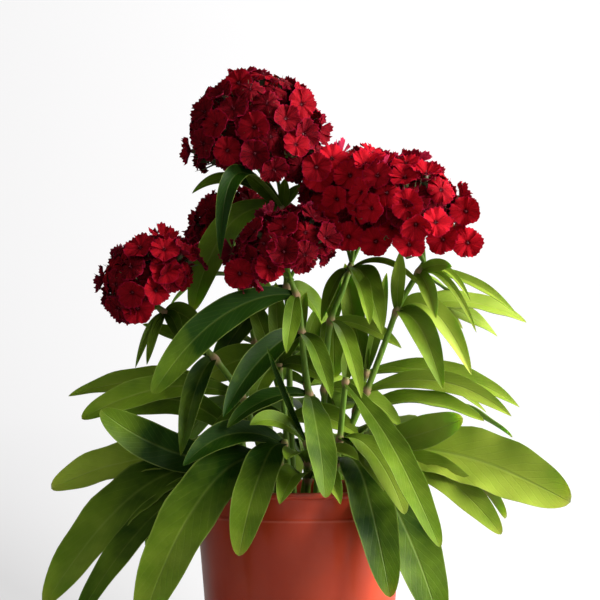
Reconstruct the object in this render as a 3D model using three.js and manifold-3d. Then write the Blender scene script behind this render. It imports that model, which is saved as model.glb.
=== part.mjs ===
// A flowering sweet william (Dianthus barbatus) in a round plastic pot. Millimetres, +Z up, origin at the
// centre of the pot's underside. -Y is the plant's front, +X its right.
//
// The pot holds a plug of soil. Flowering stems and short leafy shoots stand in plain holes in it. Each stem,
// with the leaves and flower stalks that grow on it, is one solid, and the dense flower head it carries is
// another, since it has another colour.

import * as THREE from "three";
import { mergeVertices } from "three/addons/utils/BufferGeometryUtils.js";
import Module from "manifold-3d";

const wasm = await Module();
wasm.setup();

// ---- Driving dimensions ----

const GAP = 0.35; // between solids that touch on the real plant

const POT_HEIGHT = 112;
const POT_RIM_RADIUS = 65;
const POT_FOOT_RADIUS = 55.5;
const POT_SHOULDER_RADIUS = 63.6; // where the plain wall ends, under the recessed band
const POT_BAND_RADIUS = 62.6;
const POT_WALL = 1.8;
const POT_FLOOR = 2.4;
const POT_LIP_HEIGHT = 4;
const POT_BAND_HEIGHT = 13;
const POT_BEVEL = 1.2;
const POT_SIDES = 26;
const DRAIN_HOLES = 6;
const DRAIN_RADIUS = 4;
const DRAIN_CIRCLE = 40;
const DRAIN_SIDES = 6;

const SOIL_TOP = 99;
const SOIL_LUMP = 1.1; // height of the crumbs
const SOIL_SIDES = 14;
const STEM_HOLE_SIDES = 6;

const ROOT_DEPTH = 24; // how far a stem goes down into the soil
const STEM_RADIUS = 2.3;
const STEM_TOP_SHARE = 0.72; // a stem's radius at its top, as a share of that at the soil
const STEM_SIDES = 5;
const JOINT_SWELL = 1.5; // where leaves grow, as a share of the stem's radius
const JOINT_HALF_LENGTH = 3.5;

const LEAF_THICKNESS = 1.3; // at the midrib
const LEAF_FOLD = 0.22; // how far the edges stand above the midrib, as a share of half the width
const LANCE_FOLD = 0.4; // the same for lance-shaped leaves
const LANCE_LEAF = 17; // leaves up to this width are lance-shaped, and the rest are broadest further out
const LEAF_CROWDING = 0.85; // below 1, the lengths of a blade are shorter towards its tip
const NARROW_LEAF = 11; // leaves up to this width are in three lengths
const BROAD_LEAF = 19; // leaves from this width are in five lengths, and the rest in four

const PETALS = 5;
const PETAL_CORNER = 0.24; // where a petal's outer corners are, as a share of its sector
const FLORET_RADIUS = 11.2;
const FLORET_NOTCH = 8.9; // where two petals meet at the rim
const FLORET_DROP = 1.1; // how far the rim hangs below the throat
const FLORET_NECK_DEPTH = 3.4;
const FLORET_NECK_RADIUS = 1.5;
const FLORET_DEPTH_SPREAD = 0.05; // how far florets stand in or out, as a share of the dome's radius
const FLORET_TILT = 0.36; // how far florets face away from straight out
const CALYX_LENGTH = 19; // from the throat down into the head's core
const HEAD_SHELL = 12; // from the head's core out to its florets
const HEAD_REACH = 116; // degrees from the crown down to the lowest florets
const STALKS = 4; // flower stalks that fan out under each head
const STALK_SIDES = 4;
const STALK_RADIUS = 1.15;
const STALK_SPREAD = 0.5; // how far out the stalks meet the core, as a share of its radius
const STALK_TOP = -0.4; // how high they meet it, as a share of its height above its centre

const COLOURS = {
  pot: [0x8c3325, 0.38],
  soil: [0x2a211b, 0.95],
  stem: [0x4c7021, 0.6],
  shoot: [0x44701f, 0.55],
  head: [0x8e0d17, 0.7],
};

// ---- Vectors, seeded numbers and solids ----

const UP = new THREE.Vector3(0, 0, 1);
const GOLDEN_ANGLE = Math.PI * (3 - Math.sqrt(5));

const point = (x, y, z) => new THREE.Vector3(x, y, z);
const degrees = THREE.MathUtils.degToRad;

// A number from 0 to 1 that depends on its key alone.
function draw(key) {
  const wave = Math.sin(key * 12.9898 + 78.233) * 43758.5453;
  return wave - Math.floor(wave);
}

// A closed mesh as a solid whose faces point out.
function solidFrom(geometry) {
  const bare = new THREE.BufferGeometry()
    .setAttribute("position", geometry.getAttribute("position"))
    .setIndex(geometry.index);
  const merged = mergeVertices(bare, 1e-4);
  const place = merged.getAttribute("position");
  const triVerts = new Uint32Array(merged.index.array);
  const corner = [0, 1, 2].map(() => new THREE.Vector3());
  let volume = 0;
  for (let i = 0; i < triVerts.length; i += 3) {
    corner.forEach((c, k) => c.fromBufferAttribute(place, triVerts[i + k]));
    volume += corner[0].dot(corner[1].cross(corner[2]));
  }
  if (volume < 0) triVerts.reverse();
  return new wasm.Manifold(
    new wasm.Mesh({ numProp: 3, vertProperties: place.array, triVerts }),
  );
}

function solidFromFaces(points, faces) {
  const geometry = new THREE.BufferGeometry().setFromPoints(points);
  return solidFrom(geometry.setIndex(faces));
}

function geometryFrom(solid) {
  const mesh = solid.getMesh();
  const places = new Float32Array(mesh.numVert * 3);
  for (let i = 0; i < mesh.numVert; i++) {
    const start = i * mesh.numProp;
    places.set(mesh.vertProperties.subarray(start, start + 3), i * 3);
  }
  const geometry = new THREE.BufferGeometry()
    .setAttribute("position", new THREE.BufferAttribute(places, 3))
    .setIndex(new THREE.BufferAttribute(mesh.triVerts, 1))
    .toNonIndexed();
  geometry.computeVertexNormals();
  return geometry;
}

const fuse = (solids) => wasm.Manifold.union(solids);

// A closed body through rings of equally many points, which ends in its last ring or, if given, in a tip.
// The end faces fan out from each ring's second point.
function loft(rings, tip) {
  const count = rings[0].length;
  const last = (rings.length - 1) * count;
  const points = rings.flat();
  const faces = [];
  for (let start = 0; start < last; start += count) {
    for (let i = 0; i < count; i++) {
      const a = start + i;
      const b = start + ((i + 1) % count);
      faces.push(a, b, a + count, b, b + count, a + count);
    }
  }
  for (let i = 2; i < count; i++) faces.push(1, (i + 1) % count, i);
  if (tip) points.push(tip);
  for (let i = tip ? 0 : 2; i < count; i++) {
    const hub = tip ? points.length - 1 : last + 1;
    faces.push(hub, last + i, last + ((i + 1) % count));
  }
  return solidFromFaces(points, faces);
}

function ringAround(centre, along, radius, sides) {
  const across = new THREE.Vector3().crossVectors(along, point(0, 1, 0)).normalize();
  const other = new THREE.Vector3().crossVectors(along, across).normalize();
  return Array.from({ length: sides }, (_, i) => {
    const turn = (i * 2 * Math.PI) / sides;
    return centre
      .clone()
      .addScaledVector(across, radius * Math.cos(turn))
      .addScaledVector(other, radius * Math.sin(turn));
  });
}

// ---- Pot and soil ----

const wallTop = POT_HEIGHT - POT_LIP_HEIGHT - POT_BAND_HEIGHT;
const outerRadiusAt = (z) =>
  POT_FOOT_RADIUS + ((POT_SHOULDER_RADIUS - POT_FOOT_RADIUS) * z) / wallTop;
const innerRadiusAt = (z) => Math.min(outerRadiusAt(z), POT_BAND_RADIUS) - POT_WALL;

function makePot() {
  const lipTop = POT_HEIGHT;
  const lipFoot = POT_HEIGHT - POT_LIP_HEIGHT;
  const profile = [
    [0, 0],
    [POT_FOOT_RADIUS - POT_BEVEL, 0],
    [POT_FOOT_RADIUS, POT_BEVEL],
    [POT_SHOULDER_RADIUS, wallTop],
    [POT_BAND_RADIUS, wallTop + POT_BEVEL],
    [POT_BAND_RADIUS, lipFoot],
    [POT_RIM_RADIUS, lipFoot + POT_BEVEL],
    [POT_RIM_RADIUS, lipTop - POT_BEVEL],
    [POT_RIM_RADIUS - POT_BEVEL, lipTop],
    [POT_RIM_RADIUS - POT_WALL - POT_BEVEL, lipTop],
    [innerRadiusAt(lipTop), lipTop - POT_BEVEL],
    [innerRadiusAt(wallTop), wallTop],
    [innerRadiusAt(POT_FLOOR + POT_BEVEL), POT_FLOOR + POT_BEVEL],
    [innerRadiusAt(POT_FLOOR) - POT_BEVEL, POT_FLOOR],
    [0, POT_FLOOR],
  ];
  const outline = profile.map(([r, z]) => new THREE.Vector2(r, z));
  const shell = new THREE.LatheGeometry(outline, POT_SIDES).rotateX(Math.PI / 2);
  const drains = Array.from({ length: DRAIN_HOLES }, (_, i) => {
    const turn = ((i + 0.5) * 2 * Math.PI) / DRAIN_HOLES;
    const hole = new THREE.CylinderGeometry(DRAIN_RADIUS, DRAIN_RADIUS, 3 * POT_FLOOR, DRAIN_SIDES);
    hole.rotateX(Math.PI / 2);
    hole.translate(DRAIN_CIRCLE * Math.cos(turn), DRAIN_CIRCLE * Math.sin(turn), 0);
    return solidFrom(hole);
  });
  return solidFrom(shell).subtract(fuse(drains));
}

// A crumbly plug that fills the pot, with a plain hole for each stem that stands in it. Its edge clears the
// flats of the many-sided wall.
function makeSoil(feet) {
  const floor = POT_FLOOR + GAP;
  const edge = (innerRadiusAt(SOIL_TOP) - GAP) * Math.cos(Math.PI / POT_SIDES);
  const foot = (innerRadiusAt(floor) - GAP) * Math.cos(Math.PI / POT_SIDES) - POT_BEVEL;
  const ring = (radius, height, lump) =>
    Array.from({ length: SOIL_SIDES }, (_, i) => {
      const turn = (i * 2 * Math.PI) / SOIL_SIDES;
      const rise = lump * (2 * draw(i + radius) - 1);
      return point(radius * Math.cos(turn), radius * Math.sin(turn), height + rise);
    });
  const rings = [ring(foot, floor, 0), ring(edge, SOIL_TOP - SOIL_LUMP, 0)];
  for (const share of [0.9, 0.65, 0.35]) rings.push(ring(edge * share, SOIL_TOP, SOIL_LUMP));
  const wide = (STEM_RADIUS + GAP) / Math.cos(Math.PI / STEM_HOLE_SIDES);
  const depth = ROOT_DEPTH + GAP;
  const holes = feet.map(([x, y]) => {
    const hole = new THREE.CylinderGeometry(wide, wide, 2 * depth, STEM_HOLE_SIDES);
    hole.rotateX(Math.PI / 2).translate(x, y, SOIL_TOP);
    return solidFrom(hole);
  });
  return loft(rings, point(0, 0, SOIL_TOP)).subtract(fuse(holes));
}

// ---- Leaves, stems and flower heads ----

// Half width along a leaf, as a share of the greatest, from a clasping foot to the tip. A lance-shaped leaf
// is broadest before its middle and has a long point; the others have a broad outer half and a blunt point.
const lanceOutline = (t) => (0.21 + 3.06 * t) * (1 - t) ** 0.8;
const leafOutline = (t) => (0.2 + 2.3 * t) * Math.sqrt(1 - t);

// A blade that rises from its root, arches over and comes down to its tip. The arch is how far it lies above
// the straight line between them, and the bend is how far along that line it arches most. A blade with no
// front faces up, and one with a front of 1 faces the plant's front; a share aside turns it to the right.
function makeLeaf(root, { tip, arch, width, front, aside, bend }) {
  const end = point(...tip);
  const control = root.clone().lerp(end, bend).addScaledVector(UP, 2 * arch);
  const midrib = new THREE.QuadraticBezierCurve3(root, control, end);
  const face = point(aside, -front, 1 - Math.abs(front));
  const side = end.clone().sub(root).cross(face).normalize();
  const lengths = 3 + (width > NARROW_LEAF) + (width >= BROAD_LEAF);
  const [outline, fold] = width > LANCE_LEAF ? [leafOutline, LEAF_FOLD] : [lanceOutline, LANCE_FOLD];
  const rings = Array.from({ length: lengths }, (_, i) => {
    const t = (i / lengths) ** LEAF_CROWDING;
    const centre = midrib.getPoint(t);
    const along = midrib.getTangent(t);
    const across = side.clone().addScaledVector(along, -side.dot(along)).normalize();
    const out = new THREE.Vector3().crossVectors(across, along);
    const half = 0.5 * width * outline(t);
    const rise = fold * half;
    const at = (sideways, upwards) =>
      centre.clone().addScaledVector(across, sideways).addScaledVector(out, upwards);
    return [at(-half, rise), at(0, 0), at(half, rise), at(0, -LEAF_THICKNESS)];
  });
  return loft(rings, end);
}

// The stem's line: straight down in the soil, then through the points of its route.
function stemLine({ route }) {
  const [x, y] = route[0];
  const buried = [point(x, y, SOIL_TOP - ROOT_DEPTH), point(x, y, SOIL_TOP), point(x, y, SOIL_TOP + 6)];
  const above = route.slice(1).map((p) => point(...p));
  return new THREE.CatmullRomCurve3([...buried, ...above], false, "centripetal");
}

// Where the line passes a height, as a share of its length from 0 to 1.
function shareAtHeight(line, height) {
  let [low, high] = [0, 1];
  for (let i = 0; i < 24; i++) {
    const middle = (low + high) / 2;
    if (line.getPoint(middle).z < height) low = middle;
    else high = middle;
  }
  return (low + high) / 2;
}

// A stem is swollen at each joint, where its leaves grow, with a few straight lengths between.
function makeStem(plant) {
  const line = stemLine(plant);
  const stations = [[0, 1], [1, 1.2]];
  const heights = plant.joints.map(([height]) => height);
  for (const height of heights) {
    stations.push([shareAtHeight(line, height - JOINT_HALF_LENGTH), 1]);
    stations.push([shareAtHeight(line, height), JOINT_SWELL]);
  }
  for (const bend of [SOIL_TOP + 4, ...plant.route.slice(1, -1).map((p) => p[2])]) {
    const nearest = Math.min(...heights.map((height) => Math.abs(height - bend)));
    if (nearest > 3 * JOINT_HALF_LENGTH) stations.push([shareAtHeight(line, bend), 1]);
  }
  stations.sort((a, b) => a[0] - b[0]);
  const rings = stations.map(([share, swell]) => {
    const radius = STEM_RADIUS * (1 - (1 - STEM_TOP_SHARE) * share) * swell;
    return ringAround(line.getPoint(share), line.getTangent(share), radius, STEM_SIDES);
  });
  const leaves = plant.joints.flatMap(([height, ...pair]) => {
    const root = line.getPoint(shareAtHeight(line, height));
    return pair.map((leaf) => makeLeaf(root, leaf));
  });
  return fuse([loft(rings), ...leaves]);
}

// The turn that leans a head's axis over from upright.
function leanOf({ lean, toward }) {
  const heading = point(Math.cos(degrees(toward)), Math.sin(degrees(toward)), 0);
  const hinge = new THREE.Vector3().crossVectors(UP, heading);
  return new THREE.Quaternion().setFromAxisAngle(hinge, degrees(lean));
}

// Florets follow the golden spiral from the crown of the dome to below its widest ring.
// Each has its own depth and tilt.
function floretPlaces(head) {
  const [radius, height] = head.size;
  const turn = leanOf(head);
  const lowest = Math.cos(degrees(HEAD_REACH));
  return Array.from({ length: head.florets }, (_, i) => {
    const key = head.seed + i * 7;
    const up = 1 - ((i + 0.5) / head.florets) * (1 - lowest);
    const out = Math.sqrt(1 - up * up);
    const around = i * GOLDEN_ANGLE + head.seed;
    const depth = 1 + FLORET_DEPTH_SPREAD * (2 * draw(key) - 1);
    const spot = point(out * Math.cos(around), out * Math.sin(around), up);
    const tilt = point(draw(key + 1) - 0.5, draw(key + 2) - 0.5, draw(key + 3) - 0.5);
    const normal = point(spot.x / radius, spot.y / radius, spot.z / height).normalize();
    normal.addScaledVector(tilt, FLORET_TILT);
    spot.multiply(point(radius, radius, height)).multiplyScalar(depth).applyQuaternion(turn);
    spot.add(point(...head.centre));
    return { spot, normal: normal.applyQuaternion(turn).normalize(), spin: draw(key + 4) * 2 * Math.PI };
  });
}

const onCircle = (radius, turns, z) =>
  point(radius * Math.cos(2 * Math.PI * turns), radius * Math.sin(2 * Math.PI * turns), z);

// Five petals round a throat at the origin, facing +Z, on a calyx that tapers down into the core. The rim
// has a notch and two corners for each petal, and the neck below it has three corners.
function makeFloret() {
  const rim = [];
  for (let petal = 0; petal < PETALS; petal++) {
    rim.push(onCircle(FLORET_NOTCH, petal / PETALS, -FLORET_DROP));
    rim.push(onCircle(FLORET_RADIUS, (petal + PETAL_CORNER) / PETALS, -FLORET_DROP));
    rim.push(onCircle(FLORET_RADIUS, (petal + 1 - PETAL_CORNER) / PETALS, -FLORET_DROP));
  }
  const turns = [2, 7, 12].map((i) => i / rim.length);
  const neck = turns.map((turn) => onCircle(FLORET_NECK_RADIUS, turn, -FLORET_NECK_DEPTH));
  const [throat, firstNeck, foot] = [0, 1 + rim.length, 4 + rim.length];
  const points = [point(0, 0, 0), ...rim, ...neck, point(0, 0, -CALYX_LENGTH)];
  const faces = [];
  for (let i = 0; i < rim.length; i++) {
    const [a, b] = [1 + i, 1 + ((i + 1) % rim.length)];
    const side = Math.floor(i / 5);
    const under = firstNeck + side;
    const next = firstNeck + ((side + 1) % 3);
    faces.push(throat, a, b, b, a, under);
    if (i % 5 === 4) faces.push(b, under, next, next, under, foot);
  }
  return solidFromFaces(points, faces);
}

// The smaller core that the florets stand out of, grown by a margin.
function coreOf(head, margin = 0) {
  const [radius, height] = head.size.map((x) => x - HEAD_SHELL + margin);
  const core = new THREE.SphereGeometry(1, 8, 5).rotateX(Math.PI / 2);
  core.scale(radius, radius, height).applyQuaternion(leanOf(head)).translate(...head.centre);
  return solidFrom(core);
}

const isInside = (spot, { centre, size }) => spot.distanceTo(point(...centre)) < Math.min(...size);

// A head keeps the florets that are outside the other heads, clear of their cores and clear of those
// already there.
function makeHead(head, others, built) {
  const floret = makeFloret();
  const places = floretPlaces(head).filter(({ spot }) => !others.some((other) => isInside(spot, other)));
  const florets = places.map(({ spot, normal, spin }) => {
    const turn = new THREE.Quaternion().setFromUnitVectors(UP, normal);
    turn.multiply(new THREE.Quaternion().setFromAxisAngle(UP, spin));
    const place = new THREE.Matrix4().compose(spot, turn, point(1, 1, 1));
    return floret.transform(place.elements);
  });
  const kept = [...built, ...others.map((other) => coreOf(other, GAP))];
  const free = florets.filter((one) => kept.every((other) => one.intersect(other).isEmpty()));
  return fuse([coreOf(head), ...free]);
}

// Stalks that fan out from the top of the stem to the underside of the head's core.
function makeStalks(plant) {
  const head = plant.head;
  const [radius, height] = head.size.map((x) => x - HEAD_SHELL);
  const start = point(...plant.route.at(-1));
  const turn = leanOf(head);
  return Array.from({ length: STALKS }, (_, i) => {
    const end = onCircle(STALK_SPREAD * radius, i / STALKS + head.seed, STALK_TOP * height);
    end.applyQuaternion(turn).add(point(...head.centre));
    const along = end.clone().sub(start).normalize();
    const foot = start.clone().addScaledVector(along, -2 * STALK_RADIUS);
    return loft([foot, end].map((p) => ringAround(p, along, STALK_RADIUS, STALK_SIDES)));
  });
}

// ---- The plant ----

// A leaf's tip, its arch and width, how far it faces the front and the right, and where it arches most.
const leaf = (tip, arch, width, front = 0.5, aside = 0, bend = 0.5) => ({
  tip,
  arch,
  width,
  front,
  aside,
  bend,
});

// Each joint of a stem gives its height and the leaves that grow from it.
const flowering = [
  {
    name: "top",
    route: [[-4, 8], [-6, 8, 160], [-8, 6, 230], [-11, 3, 286]],
    head: {
      centre: [-28, 2, 326],
      size: [40, 41],
      florets: 34,
      lean: 8,
      toward: 0,
      seed: 11,
    },
    joints: [
      [
        284,
        leaf([-66, -14, 220], 27, 19, 0.8, 0, 0.72),
        leaf([-48, -46, 252], 43, 12, 0.9, 0, 1),
        leaf([-66, -22, 292], 13, 8, 0.6, 0, 0.6),
        leaf([-34, -16, 304], 1, 9, 0.8),
        leaf([-9, -14, 302], 0, 7, 0.8),
        leaf([0, -14, 298], 0, 7, 0.8),
        leaf([6, 34, 262], 8, 11, 0.5),
      ],
      [235, leaf([-54, 18, 184], 9, 18), leaf([20, 34, 200], 10, 14, 0.6)],
      [190, leaf([-14, 43, 168], 10, 12, 0), leaf([20, 33, 170], 12, 12, 0)],
    ],
  },
  {
    name: "centre",
    route: [[10, 3], [14, 1, 150], [19, -3, 214], [26, 0, 232], [32, 4, 250]],
    head: {
      centre: [35, 6, 287],
      size: [33, 33],
      florets: 23,
      lean: 20,
      toward: 270,
      seed: 23,
    },
    joints: [
      [
        246,
        leaf([50, -34, 206], 14, 17, 0.8, 0.3),
        leaf([42, -46, 212], 8, 12, 0.8, 0.3),
        leaf([13, -22, 214], 8, 9, 0.7, -0.3),
        leaf([77, -34, 231], 12, 4, 0.8),
      ],
      [
        214,
        leaf([37, -50, 168], 12, 13, 0.8, 0.3),
        leaf([63, 2, 197], 5, 10, 0.6),
        leaf([22, 34, 178], 12, 20, 0.6),
      ],
      [172, leaf([63, -2, 148], 8, 16, 0.5), leaf([24, 36, 150], 6, 13, 0)],
    ],
  },
  {
    name: "right",
    route: [[19, -7], [28, -10, 140], [41, -12, 171], [53, -14, 203], [60, -17, 222], [76, -22, 250]],
    head: {
      centre: [65, -24, 285],
      size: [33, 28],
      florets: 23,
      lean: 16,
      toward: 335,
      seed: 37,
    },
    joints: [
      [
        244,
        leaf([133, -16, 218], 8, 7, 0.5),
        leaf([82, -46, 216], 5, 10, 0.9),
        leaf([107, -36, 207], 13, 5, 0.7),
        leaf([92, -38, 247], 3, 8, 0.9),
        leaf([104, -26, 226], 11, 5, 0.6),
        leaf([110, 22, 214], 4, 8, 0.4),
      ],
      [
        220,
        leaf([86, -48, 173], 14, 16, 0.8, 0.2),
        leaf([105, -20, 181], 20, 14, 0.8),
        leaf([141, 8, 213], 10, 15, 0.6),
        leaf([124, 24, 204], 10, 12, 0.6),
        leaf([101, 4, 209], 8, 11, 0.6),
        leaf([61, -36, 257], -2, 9, 0.8),
        leaf([80, 32, 192], 12, 14, 0.5),
      ],
      [171, leaf([129, -26, 156], 14, 13, 0.7)],
    ],
  },
  {
    name: "front",
    route: [[2, -11], [7, -17, 150], [2, -23, 195], [-1, -27, 225], [-6, -29, 240]],
    head: {
      centre: [-10, -35, 256],
      size: [32, 24],
      florets: 18,
      lean: 22,
      toward: 200,
      seed: 51,
    },
    joints: [
      [230, leaf([-88, -64, 171], 18, 21, 0.8), leaf([-8, -58, 195], 5, 11, 0.8)],
      [207, leaf([19, -60, 168], 8, 13, 0.8, 0.3), leaf([-46, -60, 157], 11, 17, 0.8)],
      [169, leaf([15, -78, 110], 12, 20, 0.3, 0.3), leaf([-44, -50, 150], 8, 14, 0.6)],
    ],
  },
  {
    name: "left",
    route: [[-17, -4], [-26, -9, 140], [-36, -14, 168], [-54, -20, 193], [-76, -25, 213], [-88, -27, 224]],
    head: {
      centre: [-91, -26, 241],
      size: [30, 25],
      florets: 16,
      lean: 34,
      toward: 200,
      seed: 67,
    },
    joints: [
      [
        219,
        leaf([-99, -50, 186], 7, 5, 0.8),
        leaf([-92, -52, 188], 5, 6, 0.8),
        leaf([-71, -44, 200], 5, 9, 0.8),
        leaf([-60, -34, 208], 5, 14, 0.8),
      ],
      [191, leaf([-72, -44, 133], 14, 14, 0.8), leaf([-97, -10, 212], 2, 11)],
      [168, leaf([-142, -18, 168], 10, 17, 0.5), leaf([-132, -40, 155], 12, 18, 0.6)],
    ],
  },
  {
    name: "back",
    route: [[-14, 17], [-21, 26, 160], [-32, 37, 215], [-42, 42, 246]],
    head: {
      centre: [-43, 44, 274],
      size: [25, 20],
      florets: 11,
      lean: 16,
      toward: 130,
      seed: 83,
    },
    joints: [
      [242, leaf([-84, 62, 222], 9, 10, 0), leaf([-14, 72, 216], 10, 11, -0.4)],
      [200, leaf([-92, 62, 176], 14, 16, 0), leaf([14, 76, 176], 14, 16, -0.4)],
      [158, leaf([-80, 92, 128], 18, 18, -0.4)],
    ],
  },
];

const leafy = [
  {
    name: "left",
    route: [[-28, -9], [-32, -11, 125], [-36, -13, 140]],
    joints: [
      [118, leaf([-154, -45, 43], 34, 32, 0.6), leaf([-134, -66, 34], 27, 19, 0.5)],
      [132, leaf([-153, -12, 111], 9, 27, 0.58), leaf([-120, -50, 161], -12, 24, 0.95)],
    ],
  },
  {
    name: "front_left",
    route: [[-14, -21], [-13, -25, 122], [-9, -28, 142]],
    joints: [
      [126, leaf([-95, -84, 30], 39, 34, 0.5)],
      [139, leaf([-36, -82, 76], 20, 24, 0.5), leaf([-70, -60, 128], 13, 17, 0.8)],
    ],
  },
  {
    name: "front",
    route: [[4, -27], [5, -32, 120], [4, -34, 142]],
    joints: [
      [118, leaf([-12, -76, 106], 10, 16, 0.2), leaf([24, -76, 106], 12, 13, 0.2)],
      [128, leaf([-8, -68, 132], 6, 14, 0.2), leaf([35, -60, 131], 6, 14, 0.2)],
      [140, leaf([-30, -56, 152], 8, 12, 0.5), leaf([-20, -52, 199], -2, 4, 0.8)],
    ],
  },
  {
    name: "middle",
    route: [[-7, -2], [-9, -3, 150], [-13, -4, 188]],
    joints: [
      [152, leaf([-58, 12, 138], 10, 17, 0.5), leaf([36, -15, 144], 7, 16, 0.6)],
      [
        186,
        leaf([-30, -32, 160], 8, 13, 0.7),
        leaf([-60, 2, 178], 8, 21, 0.8),
        leaf([-15, -3, 238], -2, 12, 0.8),
        leaf([-31, 6, 230], -2, 13, 0.8),
        leaf([4, 10, 232], -2, 12, 0.8),
        leaf([-40, 34, 186], 10, 14, 0),
        leaf([16, -16, 176], 6, 12, 0.6),
      ],
    ],
  },
  {
    name: "front_right",
    route: [[20, -21], [24, -25, 140], [28, -29, 180]],
    joints: [
      [128, leaf([83, -71, 34], 31, 35, 0.5), leaf([53, -86, 52], 30, 28, 0.4)],
      [142, leaf([50, -64, 113], 10, 16, 0.2), leaf([62, -74, 100], 16, 18, 0.3)],
      [177, leaf([82, -92, 82], 10, 18, 0.5, 0.2), leaf([30, -20, 202], -2, 8, 0.8)],
    ],
  },
  {
    name: "right",
    route: [[32, -4], [35, -6, 122], [38, -8, 144]],
    joints: [
      [124, leaf([121, -50, 86], 20, 20, 0.7, 0.2), leaf([114, -22, 100], 20, 15)],
      [
        137,
        leaf([163, -46, 105], 10, 38, 0.8, 0.2, 0.45),
        leaf([98, -52, 156], -3, 21, 0.8),
        leaf([130, 42, 88], 26, 26, 0),
      ],
    ],
  },
  {
    name: "back_right",
    route: [[22, 14], [30, 13, 140], [42, 11, 184]],
    joints: [
      [136, leaf([104, 78, 96], 30, 26, -0.3), leaf([62, 108, 66], 38, 26, -0.3)],
      [158, leaf([114, -2, 152], 9, 16, 0.5), leaf([134, 34, 140], 15, 18, 0)],
      [
        181,
        leaf([137, 12, 160], 12, 14),
        leaf([116, 6, 157], 11, 8),
        leaf([28, 16, 250], -2, 14, 0.8),
        leaf([54, 8, 244], -2, 9, 0.8),
      ],
    ],
  },
  {
    name: "back",
    route: [[4, 26], [5, 32, 124], [6, 36, 150], [4, 39, 176]],
    joints: [
      [124, leaf([19, 140, 62], 41, 30, -0.2), leaf([-22, 130, 52], 43, 30, -0.2)],
      [150, leaf([-14, 100, 150], 14, 26, 0), leaf([54, 72, 158], 8, 20, 0.5)],
      [
        173,
        leaf([-38, 66, 160], 10, 17, 0.3),
        leaf([46, 58, 162], 6, 18, 0.3),
        leaf([10, 46, 222], -2, 14, 0.8),
        leaf([27, 42, 246], -2, 16, 0.9),
      ],
    ],
  },
  {
    name: "back_left",
    route: [[-27, 10], [-33, 15, 126], [-38, 20, 146]],
    joints: [
      [126, leaf([-136, 42, 66], 32, 26, 0), leaf([-98, 96, 58], 38, 26, -0.4)],
      [140, leaf([-113, 24, 157], 15, 20, 0.8), leaf([-50, 92, 124], 14, 23, -0.3)],
    ],
  },
];

// ---- Assembly ----

const whole = new THREE.Group();

function add(name, look, solid) {
  const [color, roughness] = COLOURS[look];
  const material = new THREE.MeshStandardMaterial({ color, roughness, metalness: 0 });
  const mesh = new THREE.Mesh(geometryFrom(solid), material);
  mesh.name = name;
  whole.add(mesh);
}

add("pot", "pot", makePot());
add("soil", "soil", makeSoil([...flowering, ...leafy].map(({ route }) => route[0])));
const built = [];
for (const plant of flowering) {
  const stem = fuse([makeStem(plant), ...makeStalks(plant)]);
  add(`stem_${plant.name}`, "stem", stem.subtract(coreOf(plant.head, GAP)));
  const others = flowering.filter((other) => other !== plant).map((other) => other.head);
  built.push(makeHead(plant.head, others, built));
  add(`head_${plant.name}`, "head", built.at(-1));
}
for (const plant of leafy) add(`shoot_${plant.name}`, "shoot", makeStem(plant));

export default whole;
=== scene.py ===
# %% [markdown]
# # A sweet william in its pot
#
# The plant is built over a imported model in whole, simple solids, which is loaded first and never moved.
# Each solid of stems, leaves or florets is then replaced by finer pieces that keep its form, so that the
# two agree from every side. Lengths are in millimetres until they are written to a mesh, which is in
# metres.

# %% Load the frame
import math

import bmesh
import bpy
import numpy as np
from mathutils import Matrix, Quaternion, Vector


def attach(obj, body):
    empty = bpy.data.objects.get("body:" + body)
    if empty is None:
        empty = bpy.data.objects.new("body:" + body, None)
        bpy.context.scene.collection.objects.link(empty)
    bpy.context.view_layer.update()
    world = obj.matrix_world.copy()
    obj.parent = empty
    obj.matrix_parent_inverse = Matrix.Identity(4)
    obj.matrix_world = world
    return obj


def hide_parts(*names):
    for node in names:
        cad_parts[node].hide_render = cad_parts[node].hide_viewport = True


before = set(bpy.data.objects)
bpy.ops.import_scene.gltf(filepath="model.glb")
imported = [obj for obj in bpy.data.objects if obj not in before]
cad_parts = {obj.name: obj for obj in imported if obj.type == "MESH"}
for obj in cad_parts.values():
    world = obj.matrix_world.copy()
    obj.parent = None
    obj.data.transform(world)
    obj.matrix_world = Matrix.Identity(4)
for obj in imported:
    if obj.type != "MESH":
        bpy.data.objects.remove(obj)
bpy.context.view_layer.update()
MM = 0.001
print("nodes in the frame:", len(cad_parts))

# %% [markdown]
# ## Camera and light
#
# The camera is level with the plant's middle, and far off with a long lens, which keeps the pot's rim
# nearly flat. One strong, large light stands to the right and models every leaf from that side. Two weak
# ones, in front and to the left, keep the shaded leaves readable, and one behind gives them a thin bright
# edge.

# %% Camera
CAMERA_HEIGHT = 0.227
CAMERA_DISTANCE = 1.71
camera = bpy.data.objects.new("camera", bpy.data.cameras.new("camera"))
bpy.context.scene.collection.objects.link(camera)
camera.location = (0, -CAMERA_DISTANCE, CAMERA_HEIGHT)
camera.rotation_euler = (math.pi / 2, 0, 0)
camera.data.sensor_width = 36
camera.data.lens = 165.7
bpy.context.scene.camera = camera
bpy.context.scene.view_settings.view_transform = "Standard"
print("camera:", CAMERA_DISTANCE, "m away, lens", camera.data.lens)

# %% Lights
def aim_light(name, place, target, size, power, colour):
    """A square soft light that faces its target."""
    lamp = bpy.data.lights.new(name, "AREA")
    lamp.size, lamp.energy, lamp.color = size, power, colour
    light = bpy.data.objects.new(name, lamp)
    bpy.context.scene.collection.objects.link(light)
    light.location = place
    light.rotation_mode = "QUATERNION"
    light.rotation_quaternion = (Vector(target) - Vector(place)).to_track_quat("-Z", "Y")


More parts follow.
